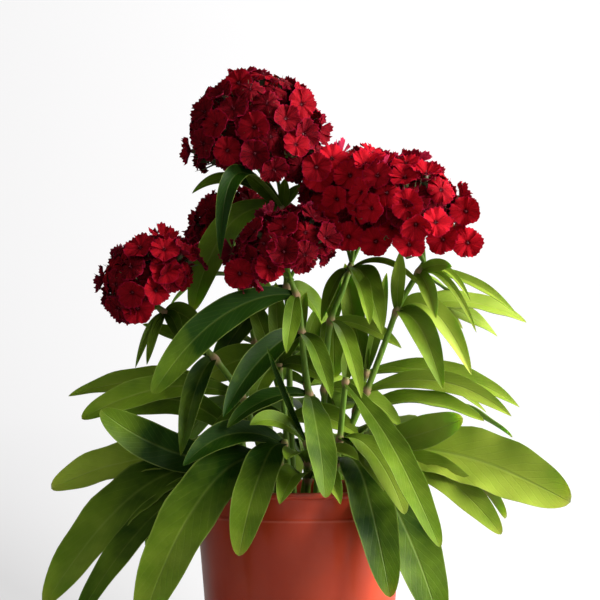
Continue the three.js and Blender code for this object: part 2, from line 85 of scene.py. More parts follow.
WARM, COOL, WHITE = (1, 0.98, 0.95), (0.99, 0.98, 1), (1, 1, 1)
SKY_STRENGTH = 0.07
aim_light("key", (1.84, -0.26, 0.85), (0, 0, 0.2), size=1.3, power=124, colour=WARM)
aim_light("fill", (0.3, -1.9, 0.7), (0, 0, 0.2), size=1.2, power=3.0, colour=COOL)
aim_light("left", (-1.5, -0.8, 1.0), (0, 0, 0.15), size=1.2, power=5.5, colour=COOL)
aim_light("rim", (0.9, 1.5, 1.3), (0, 0, 0.25), size=1.0, power=12, colour=WHITE)
world = bpy.data.worlds.new("studio")
world.use_nodes = True
world.node_tree.nodes["Background"].inputs["Color"].default_value = (1, 1, 1, 1)
world.node_tree.nodes["Background"].inputs["Strength"].default_value = SKY_STRENGTH
bpy.context.scene.world = world
print("lights:", len(bpy.data.lights))

# %% [markdown]
# ## Selecting in code
#
# An operator acts on everything that is selected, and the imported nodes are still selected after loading.
# So each step starts by selecting nothing, and edit mode picks vertices, edges or faces by their place.

# %% Selecting
def deselect_all():
    """Leaves edit mode and selects nothing, so that the next primitive stands alone."""
    if bpy.context.object and bpy.context.object.mode != "OBJECT":
        bpy.ops.object.mode_set(mode="OBJECT")
    bpy.ops.object.select_all(action="DESELECT")


def added(name):
    """The primitive that was just added, under its own name."""
    obj = bpy.context.object
    obj.name = obj.data.name = name
    return obj


def pick(obj, kind, test):
    """In edit mode, selects the vertices, edges or faces that pass the test."""
    bpy.ops.mesh.select_mode(type=kind)
    bpy.ops.mesh.select_all(action="DESELECT")
    shape = bmesh.from_edit_mesh(obj.data)
    for part in {"VERT": shape.verts, "EDGE": shape.edges, "FACE": shape.faces}[kind]:
        part.select_set(bool(test(part)))
    bmesh.update_edit_mesh(obj.data)


# %% [markdown]
# ## Floor
#
# A horizon would show behind the plant from some side, so floor and backdrop are one dish: a disc whose
# edge is drawn up in a quarter circle. It is a stage and no part of the plant. The pot and the soil are
# made with the same few lines later on.

# %% Drawing up a round wall
def draw_up(disc, radius, height, rings, unit=MM, closed=True):
    """Extrudes a disc's edge from ring to ring, as clay on a potter's wheel. Each ring gives its radius and
    height. The last ring is then closed, unless the shape stays an open dish."""
    bpy.ops.object.mode_set(mode="EDIT")
    pick(disc, "EDGE", lambda edge: edge.is_boundary)
    for next_radius, next_height in rings:
        rise = (next_height - height) * unit
        bpy.ops.mesh.extrude_region_move(TRANSFORM_OT_translate={"value": (0, 0, rise)})
        grow = next_radius / radius
        bpy.ops.transform.resize(value=(grow, grow, 1), center_override=(0, 0, 0))
        radius, height = next_radius, next_height
    if closed:
        bpy.ops.mesh.edge_face_add()
        bpy.ops.mesh.select_all(action="SELECT")
        bpy.ops.mesh.normals_make_consistent(inside=False)
    bpy.ops.object.mode_set(mode="OBJECT")


# %% Floor shape
DISH_RADIUS = 3.4
DISH_EDGE = 1.4
DISH_STEPS = 12
deselect_all()
bpy.ops.mesh.primitive_circle_add(vertices=96, radius=DISH_RADIUS, fill_type="NGON")
dish = added("floor")
edge_turns = [step / DISH_STEPS * math.pi / 2 for step in range(1, DISH_STEPS + 1)]
dish_rings = [
    (DISH_RADIUS + DISH_EDGE * math.sin(turn), DISH_EDGE * (1 - math.cos(turn))) for turn in edge_turns
]
draw_up(dish, DISH_RADIUS, 0, dish_rings, unit=1, closed=False)
bpy.ops.object.shade_smooth()
print("floor:", len(dish.data.polygons), "faces")

# %% [markdown]
# ## Nodes for materials
#
# Every finish here is a few shader nodes. Sums on masks get short names, so that a finish reads almost
# like a recipe. One effect comes back in most of them and is made once, as a node group: a mottle, which
# is a soft uneven tone between two values.

# %% Node helpers
def add_node(tree, kind, inputs=None, **settings):
    """A shader node whose inputs are numbers or other nodes' outputs."""
    node = tree.nodes.new("ShaderNode" + kind)
    for key, value in settings.items():
        setattr(node, key, value)
    feed(tree, node, inputs or {})
    return node


def feed(tree, node, inputs):
    for key, value in inputs.items():
        if isinstance(value, bpy.types.NodeSocket):
            tree.links.new(value, node.inputs[key])
        else:
            node.inputs[key].default_value = value


def calculate(tree, operation, a, b=0.0, clamp=False):
    return add_node(tree, "Math", {0: a, 1: b}, operation=operation, use_clamp=clamp).outputs[0]


def plus(tree, a, b, clamp=False):
    return calculate(tree, "ADD", a, b, clamp)


def minus(tree, a, b, clamp=False):
    return calculate(tree, "SUBTRACT", a, b, clamp)


def times(tree, a, b, clamp=False):
    return calculate(tree, "MULTIPLY", a, b, clamp)


# %% Mottle
def new_group(name, numbers, output):
    """An empty node group with a Vector and named numbers as inputs, and one number as its output."""
    group = bpy.data.node_groups.new(name, "ShaderNodeTree")
    group.interface.new_socket("Vector", in_out="INPUT", socket_type="NodeSocketVector")
    for key in numbers:
        group.interface.new_socket(key, in_out="INPUT", socket_type="NodeSocketFloat")
    group.interface.new_socket(output, in_out="OUTPUT", socket_type="NodeSocketFloat")
    print("node group:", name)
    return group, group.nodes.new("NodeGroupInput").outputs, group.nodes.new("NodeGroupOutput").inputs


mottle, given, result = new_group("mottle", ["Scale", "Low", "High"], "Value")
cloud = add_node(mottle, "TexNoise", {"Vector": given["Vector"], "Scale": given["Scale"], "Detail": 3.0})
levels = {"From Min": 0.3, "From Max": 0.7, "To Min": given["Low"], "To Max": given["High"]}
spread = add_node(mottle, "MapRange", {"Value": cloud.outputs["Fac"], **levels})
mottle.links.new(spread.outputs["Result"], result["Value"])


def mottled(tree, vector, scale, low=0.0, high=1.0):
    """A soft uneven tone between two values."""
    node = tree.nodes.new("ShaderNodeGroup")
    node.node_tree = mottle
    feed(tree, node, {"Vector": vector, "Scale": scale, "Low": low, "High": high})
    return node.outputs[0]


# %% Materials
def opened(material):
    """A material's node tree, its Principled BSDF's inputs and the sources of its patterns."""
    material.use_nodes = True
    tree = material.node_tree
    print("finish:", material.name)
    return tree, tree.nodes["Principled BSDF"].inputs, add_node(tree, "TexCoord").outputs


def new_material(name):
    material = bpy.data.materials.new(name)
    return material, *opened(material)


def set_values(shader, **values):
    """Sets what is even all over a surface, each under its socket's name with _ for spaces."""
    for key, value in values.items():
        shader[key.replace("_", " ")].default_value = value


# %% [markdown]
# White paper lit strongly enough to look white would throw so much light back that the plant lost its
# depth. So the paper is a middle grey, and glows for the camera's own rays alone, which Light Path tells
# apart. The glow fades a little to the left and rear, a painted shade like a lamp's falloff on real paper.

# %% Floor finish
DIMMED_FOR_CAMERA = 0.7
SHADE_LEFT_OF = 0.06
SHADE_BEYOND = 0.12
SHADE_STRENGTH = 4.6
LEAST_GLOW = 0.6
paper, tree, shader, sources = new_material("backdrop_paper")
seen = add_node(tree, "LightPath").outputs["Is Camera Ray"]
tone = mottled(tree, sources["Object"], 0.6, 0.34, 0.36)
tone = times(tree, tone, minus(tree, 1.0, times(tree, seen, DIMMED_FOR_CAMERA)))
tree.links.new(add_node(tree, "CombineColor", {0: tone, 1: tone, 2: tone}).outputs[0], shader["Base Color"])
spot = add_node(tree, "SeparateXYZ", {0: sources["Object"]}).outputs
# Painted shade: the glow is dimmed to the left of the plant and behind it.
left = minus(tree, SHADE_LEFT_OF, spot[0], clamp=True)
behind = calculate(tree, "MAXIMUM", spot[1], 0.0)
depth = plus(tree, times(tree, behind, plus(tree, behind, 2.2)), 2.0)
beyond = times(tree, minus(tree, spot[1], SHADE_BEYOND), 4.0, clamp=True)
shade = times(tree, times(tree, calculate(tree, "DIVIDE", left, depth), SHADE_STRENGTH), beyond)
glow = calculate(tree, "MAXIMUM", minus(tree, 1.0, shade), LEAST_GLOW)
set_values(shader, Roughness=0.9, Specular_IOR_Level=0, Emission_Color=(1, 0.995, 1, 1))
tree.links.new(times(tree, seen, glow), shader["Emission Strength"])
dish.data.materials.append(paper)

# %% [markdown]
# ## Pot
#
# A nursery pot is one thin moulding of red plastic: a rolled lip, a recessed band that the lip's roll
# stands out from, and a plain wall that tapers to a flat foot with drain holes. It could be a spun
# profile. Here a disc is drawn up ring by ring, because each ring then keeps its own radius and height in
# one short list. The list turns over at the lip and comes down inside, so the wall has its real thickness.

# %% Pot sizes
POT_HEIGHT = 112
POT_RIM = 65
POT_FOOT = 55.5
POT_SHOULDER = 63.6
POT_BAND = 62.6
POT_WALL = 1.8
POT_FLOOR = 2.4
LIP_HEIGHT = 4
BAND_HEIGHT = 13
POT_SIDES = 128
FOOT_BEVEL = 1.4
lip_foot = POT_HEIGHT - LIP_HEIGHT
wall_top = lip_foot - BAND_HEIGHT


def pot_radius(z):
    """The plain wall's radius outside."""
    return POT_FOOT + (POT_SHOULDER - POT_FOOT) * z / wall_top


pot_outside = [
    (POT_FOOT, FOOT_BEVEL),
    (pot_radius(30), 30),
    (pot_radius(62), 62),
    (POT_SHOULDER, wall_top - 0.6),
    (POT_SHOULDER - 0.1, wall_top + 0.2),
    (POT_BAND, wall_top + 1),
    (POT_BAND, lip_foot - 0.2),
    (POT_BAND + 0.5, lip_foot + 0.1),
]
pot_lip = [
    (POT_RIM - 0.6, lip_foot + 0.4),
    (POT_RIM, lip_foot + 1.4),
    (POT_RIM, POT_HEIGHT - 1.3),
    (POT_RIM - 0.5, POT_HEIGHT - 0.4),
    (POT_RIM - 1.5, POT_HEIGHT),
    (POT_RIM - POT_WALL - 0.9, POT_HEIGHT - 0.2),
]
pot_inside = [
    (POT_BAND - POT_WALL + 0.3, POT_HEIGHT - 1.4),
    (POT_BAND - POT_WALL, POT_HEIGHT - 4),
    (POT_BAND - POT_WALL, wall_top + 1),
    (pot_radius(60) - POT_WALL, 60),
    (pot_radius(4) - POT_WALL, 4),
    (pot_radius(4) - POT_WALL - 1.6, POT_FLOOR),
]

# %% Pot body
deselect_all()
bpy.ops.mesh.primitive_circle_add(vertices=POT_SIDES, radius=(POT_FOOT - FOOT_BEVEL) * MM, fill_type="NGON")
pot = added("pot_moulding")
draw_up(pot, POT_FOOT - FOOT_BEVEL, 0, pot_outside + pot_lip + pot_inside)
print("pot:", len(pot.data.polygons), "faces")

# %% [markdown]
# The drain holes are cut by a Boolean modifier, with all six cutters joined so that one cut is enough, and
# a Bevel modifier rounds what a mould would round. A modifier is applied at once, which leaves a plain
# mesh with nothing live on it.

# %% Applying and joining
def activate(*objects):
    """Selects only these objects, and makes the first of them active."""
    deselect_all()
    for obj in objects:
        obj.select_set(True)
    bpy.context.view_layer.objects.active = objects[0]


def apply_modifier(obj, kind, **settings):
    activate(obj)
    modifier = obj.modifiers.new(kind.lower(), kind)
    for key, value in settings.items():
        setattr(modifier, key, value)
    bpy.ops.object.modifier_apply(modifier=modifier.name)


def smooth(obj, degrees):
    """Shades an object smoothly, but for edges sharper than an angle."""
    activate(obj)
    bpy.ops.object.shade_smooth_by_angle(angle=math.radians(degrees))


def join(name, objects):
    """One object made of several."""
    activate(*objects)
    if len(objects) > 1:
        bpy.ops.object.join()
    objects[0].name = objects[0].data.name = name
    return objects[0]


def put_away(blank):
    """Deletes a blank once all its copies are made."""
    bpy.data.objects.remove(blank)


# %% Drain holes
DRAIN_HOLES = 6
DRAIN_RADIUS = 4
DRAIN_CIRCLE = 40
CUTTER_LENGTH = 12
cutters = []
for hole in range(DRAIN_HOLES):
    turn = (hole + 0.5) / DRAIN_HOLES * 2 * math.pi
    where = (DRAIN_CIRCLE * MM * math.cos(turn), DRAIN_CIRCLE * MM * math.sin(turn), 0)
    deselect_all()
    bpy.ops.mesh.primitive_cylinder_add(
        vertices=24, radius=DRAIN_RADIUS * MM, depth=CUTTER_LENGTH * MM, location=where
    )
    cutters.append(added("drain_cutter"))
cutter = join("drain_cutter", cutters)
apply_modifier(pot, "BOOLEAN", operation="DIFFERENCE", object=cutter, solver="EXACT")
put_away(cutter)
apply_modifier(
    pot, "BEVEL", width=0.35 * MM, segments=2, limit_method="ANGLE", angle_limit=math.radians(28)
)
smooth(pot, 30)
print("pot with holes and rounded edges:", len(pot.data.polygons), "faces")

# %% [markdown]
# The plastic is glossy and evenly coloured, but not quite even: it has faint upright flow bands from the
# mould, a fine orange-peel skin and dull scuffs where pots were stacked. A paler line on the edge of the
# shoulder and of the lip is a painted highlight, where those edges would catch the light. Object
# coordinates pulled long along Z give the flow bands, and the height alone tells where the two painted
# highlight lines are. The skin is the second shared effect, a grain: a fine height for a Bump node.

# %% Colours and grain
def blend_colours(tree, share, first, second):
    node = add_node(tree, "Mix", data_type="RGBA")
    feed(tree, node, {0: share, 6: first, 7: second})
    return node.outputs[2]


def ramp(tree, value, stops):
    """Colours or greys that change along a value from 0 to 1."""
    node = add_node(tree, "ValToRGB", {"Fac": value})
    points = node.color_ramp.elements
    while len(points) < len(stops):
        points.new(0.5)
    for point, (position, colour) in zip(points, stops):
        point.position = position
        point.color = colour
    return node.outputs["Color"]


def stretched(tree, vector, scale):
    """A pattern's place, pulled long by its own scale on each axis."""
    return add_node(tree, "Mapping", {"Vector": vector, "Scale": scale}).outputs[0]


def near(tree, value, place, width):
    """1 where a value is at a place, falling to 0 at a width from it."""
    away = calculate(tree, "ABSOLUTE", minus(tree, value, place))
    return minus(tree, 1.0, calculate(tree, "DIVIDE", away, width), clamp=True)


grain, given, result = new_group("grain", ["Scale"], "Height")
fibre = add_node(grain, "TexNoise", {"Vector": given["Vector"], "Scale": given["Scale"], "Detail": 2.0})
grain.links.new(fibre.outputs["Fac"], result["Height"])


def grained(tree, vector, scale):
    """A fine height."""
    node = tree.nodes.new("ShaderNodeGroup")
    node.node_tree = grain
    feed(tree, node, {"Vector": vector, "Scale": scale})
    return node.outputs[0]


def finish_with(tree, shader, colour, roughness, height, depth):
    """Feeds the finished patterns to the shader. The height is a bump of so many metres."""
    tree.links.new(colour, shader["Base Color"])
    if isinstance(roughness, bpy.types.NodeSocket):
        tree.links.new(roughness, shader["Roughness"])
    else:
        shader["Roughness"].default_value = roughness
    bump = add_node(tree, "Bump", {"Height": height, "Distance": depth})
    tree.links.new(bump.outputs["Normal"], shader["Normal"])


# %% Pot finish
def finish_piece(obj, slot, *nodes):
    """The piece rides on the one body, and stands for its nodes."""
    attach(obj, "root")
    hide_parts(*nodes)
    print(f"{obj.name}: {len(obj.data.vertices)} vertices, {len(obj.data.polygons)} faces")


HIGHLIGHT_LINE_WIDTH = 0.001
HIGHLIGHT_LINE_HEIGHTS = (wall_top - 0.5, POT_HEIGHT - 0.8)
plastic, tree, shader, sources = new_material("red_plastic")
bands = mottled(tree, stretched(tree, sources["Object"], (1, 1, 0.06)), 34.0)
cloudy = mottled(tree, sources["Object"], 14.0)
scuffs = mottled(tree, sources["Object"], 50.0)
colour = ramp(tree, bands, [(0, (0.47, 0.041, 0.013, 1)), (1, (0.55, 0.057, 0.020, 1))])
colour = blend_colours(tree, times(tree, cloudy, 0.35), colour, (0.57, 0.074, 0.028, 1))
colour = blend_colours(tree, times(tree, scuffs, 0.06), colour, (0.55, 0.20, 0.13, 1))
height = add_node(tree, "SeparateXYZ", {0: sources["Object"]}).outputs[2]
# Painted highlight: a paler line where the shoulder's and the lip's edges would catch the light.
for edge in HIGHLIGHT_LINE_HEIGHTS:
    painted_highlight = times(tree, near(tree, height, edge * MM, HIGHLIGHT_LINE_WIDTH), 0.5)
    colour = blend_colours(tree, painted_highlight, colour, (0.64, 0.17, 0.12, 1))
roughness = add_node(tree, "MapRange", {"Value": scuffs, "To Min": 0.30, "To Max": 0.35}).outputs[0]
finish_with(tree, shader, colour, roughness, grained(tree, sources["Object"], 420.0), 0.00003)
set_values(shader, Specular_IOR_Level=0.25, Coat_Weight=0.25, Coat_Roughness=0.14)
pot.data.materials.append(plastic)
finish_piece(pot, "pot", "pot")

# %% [markdown]
# ## Soil
#
# The compost is a mound with a rough face, and loose crumbs of peat and bark lie on it. A grid could be
# displaced for both, but a grid alone never has undercut crumbs, so a few hundred small stones are made
# from one lump and scattered with seeded numbers.

# %% Soil bed
SOIL_TOP = 99
SOIL_EDGE = 60.2
SOIL_FOOT = 54.6
SOIL_LOWEST = 2.9
BED_RINGS = 26
BED_RELIEF = 4.2
deselect_all()
bpy.ops.mesh.primitive_circle_add(
    vertices=64, radius=SOIL_FOOT * MM, location=(0, 0, SOIL_LOWEST * MM), fill_type="NGON"
)
bed = added("soil_bed")
bpy.ops.object.transform_apply(location=True)
soil_rings = [(SOIL_EDGE, SOIL_TOP - 1.6)]
soil_rings += [(SOIL_EDGE * share, SOIL_TOP - 0.4) for share in np.linspace(0.97, 0.03, BED_RINGS)]
draw_up(bed, SOIL_FOOT, SOIL_LOWEST, soil_rings)
lumps = bpy.data.textures.new("lumps", "CLOUDS")
lumps.noise_scale = 0.006
lumps.noise_depth = 3
group = bed.vertex_groups.new(name="face")
group.add([v.index for v in bed.data.vertices if v.co.z > (SOIL_TOP - 2) * MM], 1, "REPLACE")
rough = {"texture": lumps, "texture_coords": "LOCAL"}
apply_modifier(bed, "DISPLACE", strength=BED_RELIEF * MM, direction="Z", vertex_group="face", **rough)
print("soil bed:", len(bed.data.polygons), "faces")

# %% Seeded copies
def copy_of(blank, name, matrix=None):
    """A copy with its own mesh, placed in that mesh."""
    obj = bpy.data.objects.new(name, blank.data.copy())
    bpy.context.scene.collection.objects.link(obj)
    if matrix is not None:
        obj.data.transform(matrix)
    return obj


def store(obj, name, values):
    """Keeps a number for each vertex, which a material can read."""
    layer = obj.data.attributes.get(name) or obj.data.attributes.new(name, "FLOAT", "POINT")
    numbers = np.broadcast_to(np.asarray(values, np.float32), len(obj.data.vertices))
    layer.data.foreach_set("value", np.ascontiguousarray(numbers))


def draw(key):
    """A number from 0 to 1 that depends on its key alone, the same in each run."""
    wave = math.sin(key * 12.9898 + 78.233) * 43758.5453
    return wave - math.floor(wave)


# %% Crumbs
CRUMBS = 420
CRUMB_RELIEF = 0.9
deselect_all()
bpy.ops.mesh.primitive_ico_sphere_add(subdivisions=2, radius=1.0 * MM)
lump = added("crumb")
lumps.noise_scale = 0.0011
apply_modifier(lump, "DISPLACE", strength=CRUMB_RELIEF * MM, **rough)
crumbs = []
for i in range(CRUMBS):
    reach = (SOIL_EDGE - 2) * math.sqrt(draw(i + 0.1))
    turn = 2 * math.pi * draw(i + 0.3)
    where = Vector((reach * math.cos(turn), reach * math.sin(turn), SOIL_TOP + 0.6 * draw(i + 0.5))) * MM
    size = 0.7 + 1.5 * draw(i + 0.7) ** 2
    stretch = Vector((size, size * (0.6 + 0.5 * draw(i + 0.9)), size * 0.6))
    spin = Quaternion((0.3, 0.5, 1.0), 2 * math.pi * draw(i + 0.2))
    crumbs.append(copy_of(lump, "crumb", Matrix.LocRotScale(where, spin, stretch)))
    store(crumbs[-1], "tone", draw(i + 0.4))
put_away(lump)
print("crumbs:", len(crumbs))
store(bed, "tone", 0.35)
soil = join("soil_crumbly", [bed, *crumbs])
bpy.ops.object.shade_smooth()

# %% [markdown]
# Damp peat is nearly black and quite dull. Each crumb keeps one number from the scatter, and the finish
# turns it into a share of a drier, paler brown, so that neighbours differ.

# %% Soil finish
def stored(tree, name="tone"):
    """A number that store() kept on the mesh."""
    return add_node(tree, "Attribute", attribute_name=name).outputs["Fac"]


peat, tree, shader, sources = new_material("peat")
patches = mottled(tree, sources["Object"], 210.0)
colour = ramp(tree, patches, [(0, (0.008, 0.006, 0.005, 1)), (1, (0.045, 0.030, 0.020, 1))])
colour = blend_colours(tree, times(tree, stored(tree), 0.55), colour, (0.085, 0.052, 0.032, 1))
finish_with(tree, shader, colour, 0.92, grained(tree, sources["Object"], 900.0), 0.0004)
soil.data.materials.append(peat)
finish_piece(soil, "soil", "soil")

# %% [markdown]
# ## The plant's lines
#
# Everything green follows two kinds of curve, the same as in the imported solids. A stem runs through the
# points of its route, which begins with its place in the soil. A leaf's midrib leaves the stem at a joint,
# arches over and comes down to its tip. The lists below give each stem's route, for each joint its height
# and its leaves, and the flower head if it carries one. They could be random, but then no leaf would be
# where the solids have it.

# %% Words for the lists
def leaf(tip, arch, width, front=0.5, aside=0, bend=0.5, tone=0):
    """A leaf's tip, its arch above the straight line, its width, how far it faces the front and the right,
    how far along it arches most, and how much lighter it is painted than its place in the plant makes it:
    a painted light or shade for the light or shade that falls on that leaf."""
    shape = {"tip": tip, "arch": arch, "width": width, "bend": bend}
    return {**shape, "front": front, "aside": aside, "tone": tone}


def flower_head(centre, size, florets, lean, toward, seed, tone, face_on=()):
    """A head's middle, its radius and half height, how many florets its spiral has, how far it leans and
    which way, the seed of its draws, how much lighter it is painted than the others, a painted light or
    shade for how the head lies to the light, and the florets that are listed one by one because they face
    the viewer squarely."""
    dome = {"centre": centre, "size": size, "lean": lean, "toward": toward}
    return {**dome, "florets": florets, "seed": seed, "tone": tone, "face_on": face_on}


def stem(name, route, *joints, head=None):
    """A stem, whose joints each have a height and their leaves."""
    return {"name": name, "route": route, "joints": joints, "head": head}


# %% Flowering stems
flowering = [
    stem(
        "top",
        [(-4, 8), (-6, 8, 160), (-8, 6, 230), (-11, 3, 286)],
        [
            284,
            leaf((-66, -14, 220), 27, 19, 0.8, 0, 0.72, tone=0.2),
            leaf((-48, -46, 252), 43, 12, 0.9, 0, 1, tone=-0.4),
            leaf((-66, -22, 292), 13, 8, 0.6, 0, 0.6), leaf((-34, -16, 304), 1, 9, 0.8),
            leaf((-9, -14, 302), 0, 7, 0.8), leaf((0, -14, 298), 0, 7, 0.8), leaf((6, 34, 262), 8, 11),
        ],
        [235, leaf((-54, 18, 184), 9, 18), leaf((20, 34, 200), 10, 14, 0.6)],
        [190, leaf((-14, 43, 168), 10, 12, 0), leaf((20, 33, 170), 12, 12, 0)],
        head=flower_head(
            centre=(-28, 2, 326), size=(40, 41), florets=64, lean=8, toward=0, seed=11, tone=-0.68,
            face_on=[
                (-28, -36, 332), (-2, -34, 322), (10, -29, 308), (-44, -31, 318), (-38, -14, 361),
                (2, -20, 347), (-15, 6, 357), (-52, 6, 349),
            ],
        ),
    ),
    stem(
        "centre",
        [(10, 3), (14, 1, 150), (19, -3, 214), (26, 0, 232), (32, 4, 250)],
        [
            246,
            leaf((50, -34, 206), 14, 17, 0.8, 0.3), leaf((42, -46, 212), 8, 12, 0.8, 0.3),
            leaf((13, -22, 214), 8, 9, 0.7, -0.3), leaf((77, -34, 231), 12, 4, 0.8),
        ],
        [
            214,
            leaf((37, -50, 168), 12, 13, 0.8, 0.3, tone=-0.1), leaf((63, 2, 197), 5, 10, 0.6),
            leaf((22, 34, 178), 12, 20, 0.6),
        ],
        [172, leaf((63, -2, 148), 8, 16), leaf((24, 36, 150), 6, 13, 0)],
        head=flower_head(
            centre=(35, 6, 287), size=(33, 33), florets=48, lean=20, toward=270, seed=23, tone=0.8,
            face_on=[
                (46, -26, 263), (37, -30, 287), (18, -26, 268), (11, -20, 303), (20, -18, 314),
                (30, -24, 266),
            ],
        ),
    ),
    stem(
        "right",
        [(19, -7), (28, -10, 140), (41, -12, 171), (53, -14, 203), (60, -17, 222), (76, -22, 250)],
        [
            244,
            leaf((133, -16, 218), 8, 7), leaf((82, -46, 216), 5, 10, 0.9),
            leaf((107, -36, 207), 13, 5, 0.7), leaf((92, -38, 247), 3, 8, 0.9),
            leaf((104, -26, 226), 11, 5, 0.6), leaf((110, 22, 214), 4, 8, 0.4),
        ],
        [
            220,
            leaf((86, -48, 173), 14, 16, 0.8, 0.2, tone=-0.3),
            leaf((105, -20, 181), 20, 14, 0.8, tone=0.6), leaf((141, 8, 213), 10, 15, 0.6),
            leaf((124, 24, 204), 10, 12, 0.6), leaf((101, 4, 209), 8, 11, 0.6),
            leaf((61, -36, 257), -2, 9, 0.8), leaf((80, 32, 192), 12, 14),
        ],
        [171, leaf((129, -26, 156), 14, 13, 0.7)],
        head=flower_head(
            centre=(65, -24, 285), size=(33, 28), florets=44, lean=16, toward=335, seed=37, tone=0.7,
            face_on=[
                (100, -42, 281), (64, -54, 284), (82, -52, 274), (102, -34, 262), (66, -44, 261),
                (56, -38, 272), (86, -43, 264),
            ],
        ),
    ),
    stem(
        "front",
        [(2, -11), (7, -17, 150), (2, -23, 195), (-1, -27, 225), (-6, -29, 240)],
        [230, leaf((-88, -64, 171), 18, 21, 0.8, tone=-0.7), leaf((-8, -58, 195), 5, 11, 0.8)],
        [
            207,
            leaf((19, -60, 168), 8, 13, 0.8, 0.3, tone=-0.3),
            leaf((-46, -60, 157), 11, 17, 0.8, tone=-0.5),
        ],
        [
            169,
            leaf((15, -78, 110), 12, 20, 0.3, 0.3, tone=-0.35),
            leaf((-44, -50, 150), 8, 14, 0.6, tone=-0.4),
        ],
        head=flower_head(
            centre=(-10, -35, 256), size=(32, 24), florets=36, lean=22, toward=200, seed=51, tone=-0.62,
            face_on=[(-18, -60, 247), (-36, -52, 243)],
        ),
    ),
    stem(
        "left",
        [(-17, -4), (-26, -9, 140), (-36, -14, 168), (-54, -20, 193), (-76, -25, 213), (-88, -27, 224)],
        [
            219,
            leaf((-99, -50, 186), 7, 5, 0.8), leaf((-92, -52, 188), 5, 6, 0.8),
            leaf((-71, -44, 200), 5, 9, 0.8), leaf((-60, -34, 208), 5, 14, 0.8),
        ],
        [191, leaf((-72, -44, 133), 14, 14, 0.8, tone=-0.2), leaf((-97, -10, 212), 2, 11)],
        [168, leaf((-142, -18, 168), 10, 17, tone=0.3), leaf((-132, -40, 155), 12, 18, 0.6, tone=0.05)],
        head=flower_head(
            centre=(-91, -26, 241), size=(30, 25), florets=34, lean=34, toward=200, seed=67, tone=-0.48,
            face_on=[(-81, -50, 245), (-86, -50, 233), (-98, -44, 222)],
        ),
    ),
    stem(
        "back",
        [(-14, 17), (-21, 26, 160), (-32, 37, 215), (-42, 42, 246)],
        [242, leaf((-84, 62, 222), 9, 10, 0), leaf((-14, 72, 216), 10, 11, -0.4)],
        [200, leaf((-92, 62, 176), 14, 16, 0), leaf((14, 76, 176), 14, 16, -0.4)],
        [158, leaf((-80, 92, 128), 18, 18, -0.4)],
        head=flower_head(
            centre=(-43, 44, 274), size=(25, 20), florets=24, lean=16, toward=130, seed=83, tone=-0.65,
        ),
    ),
]

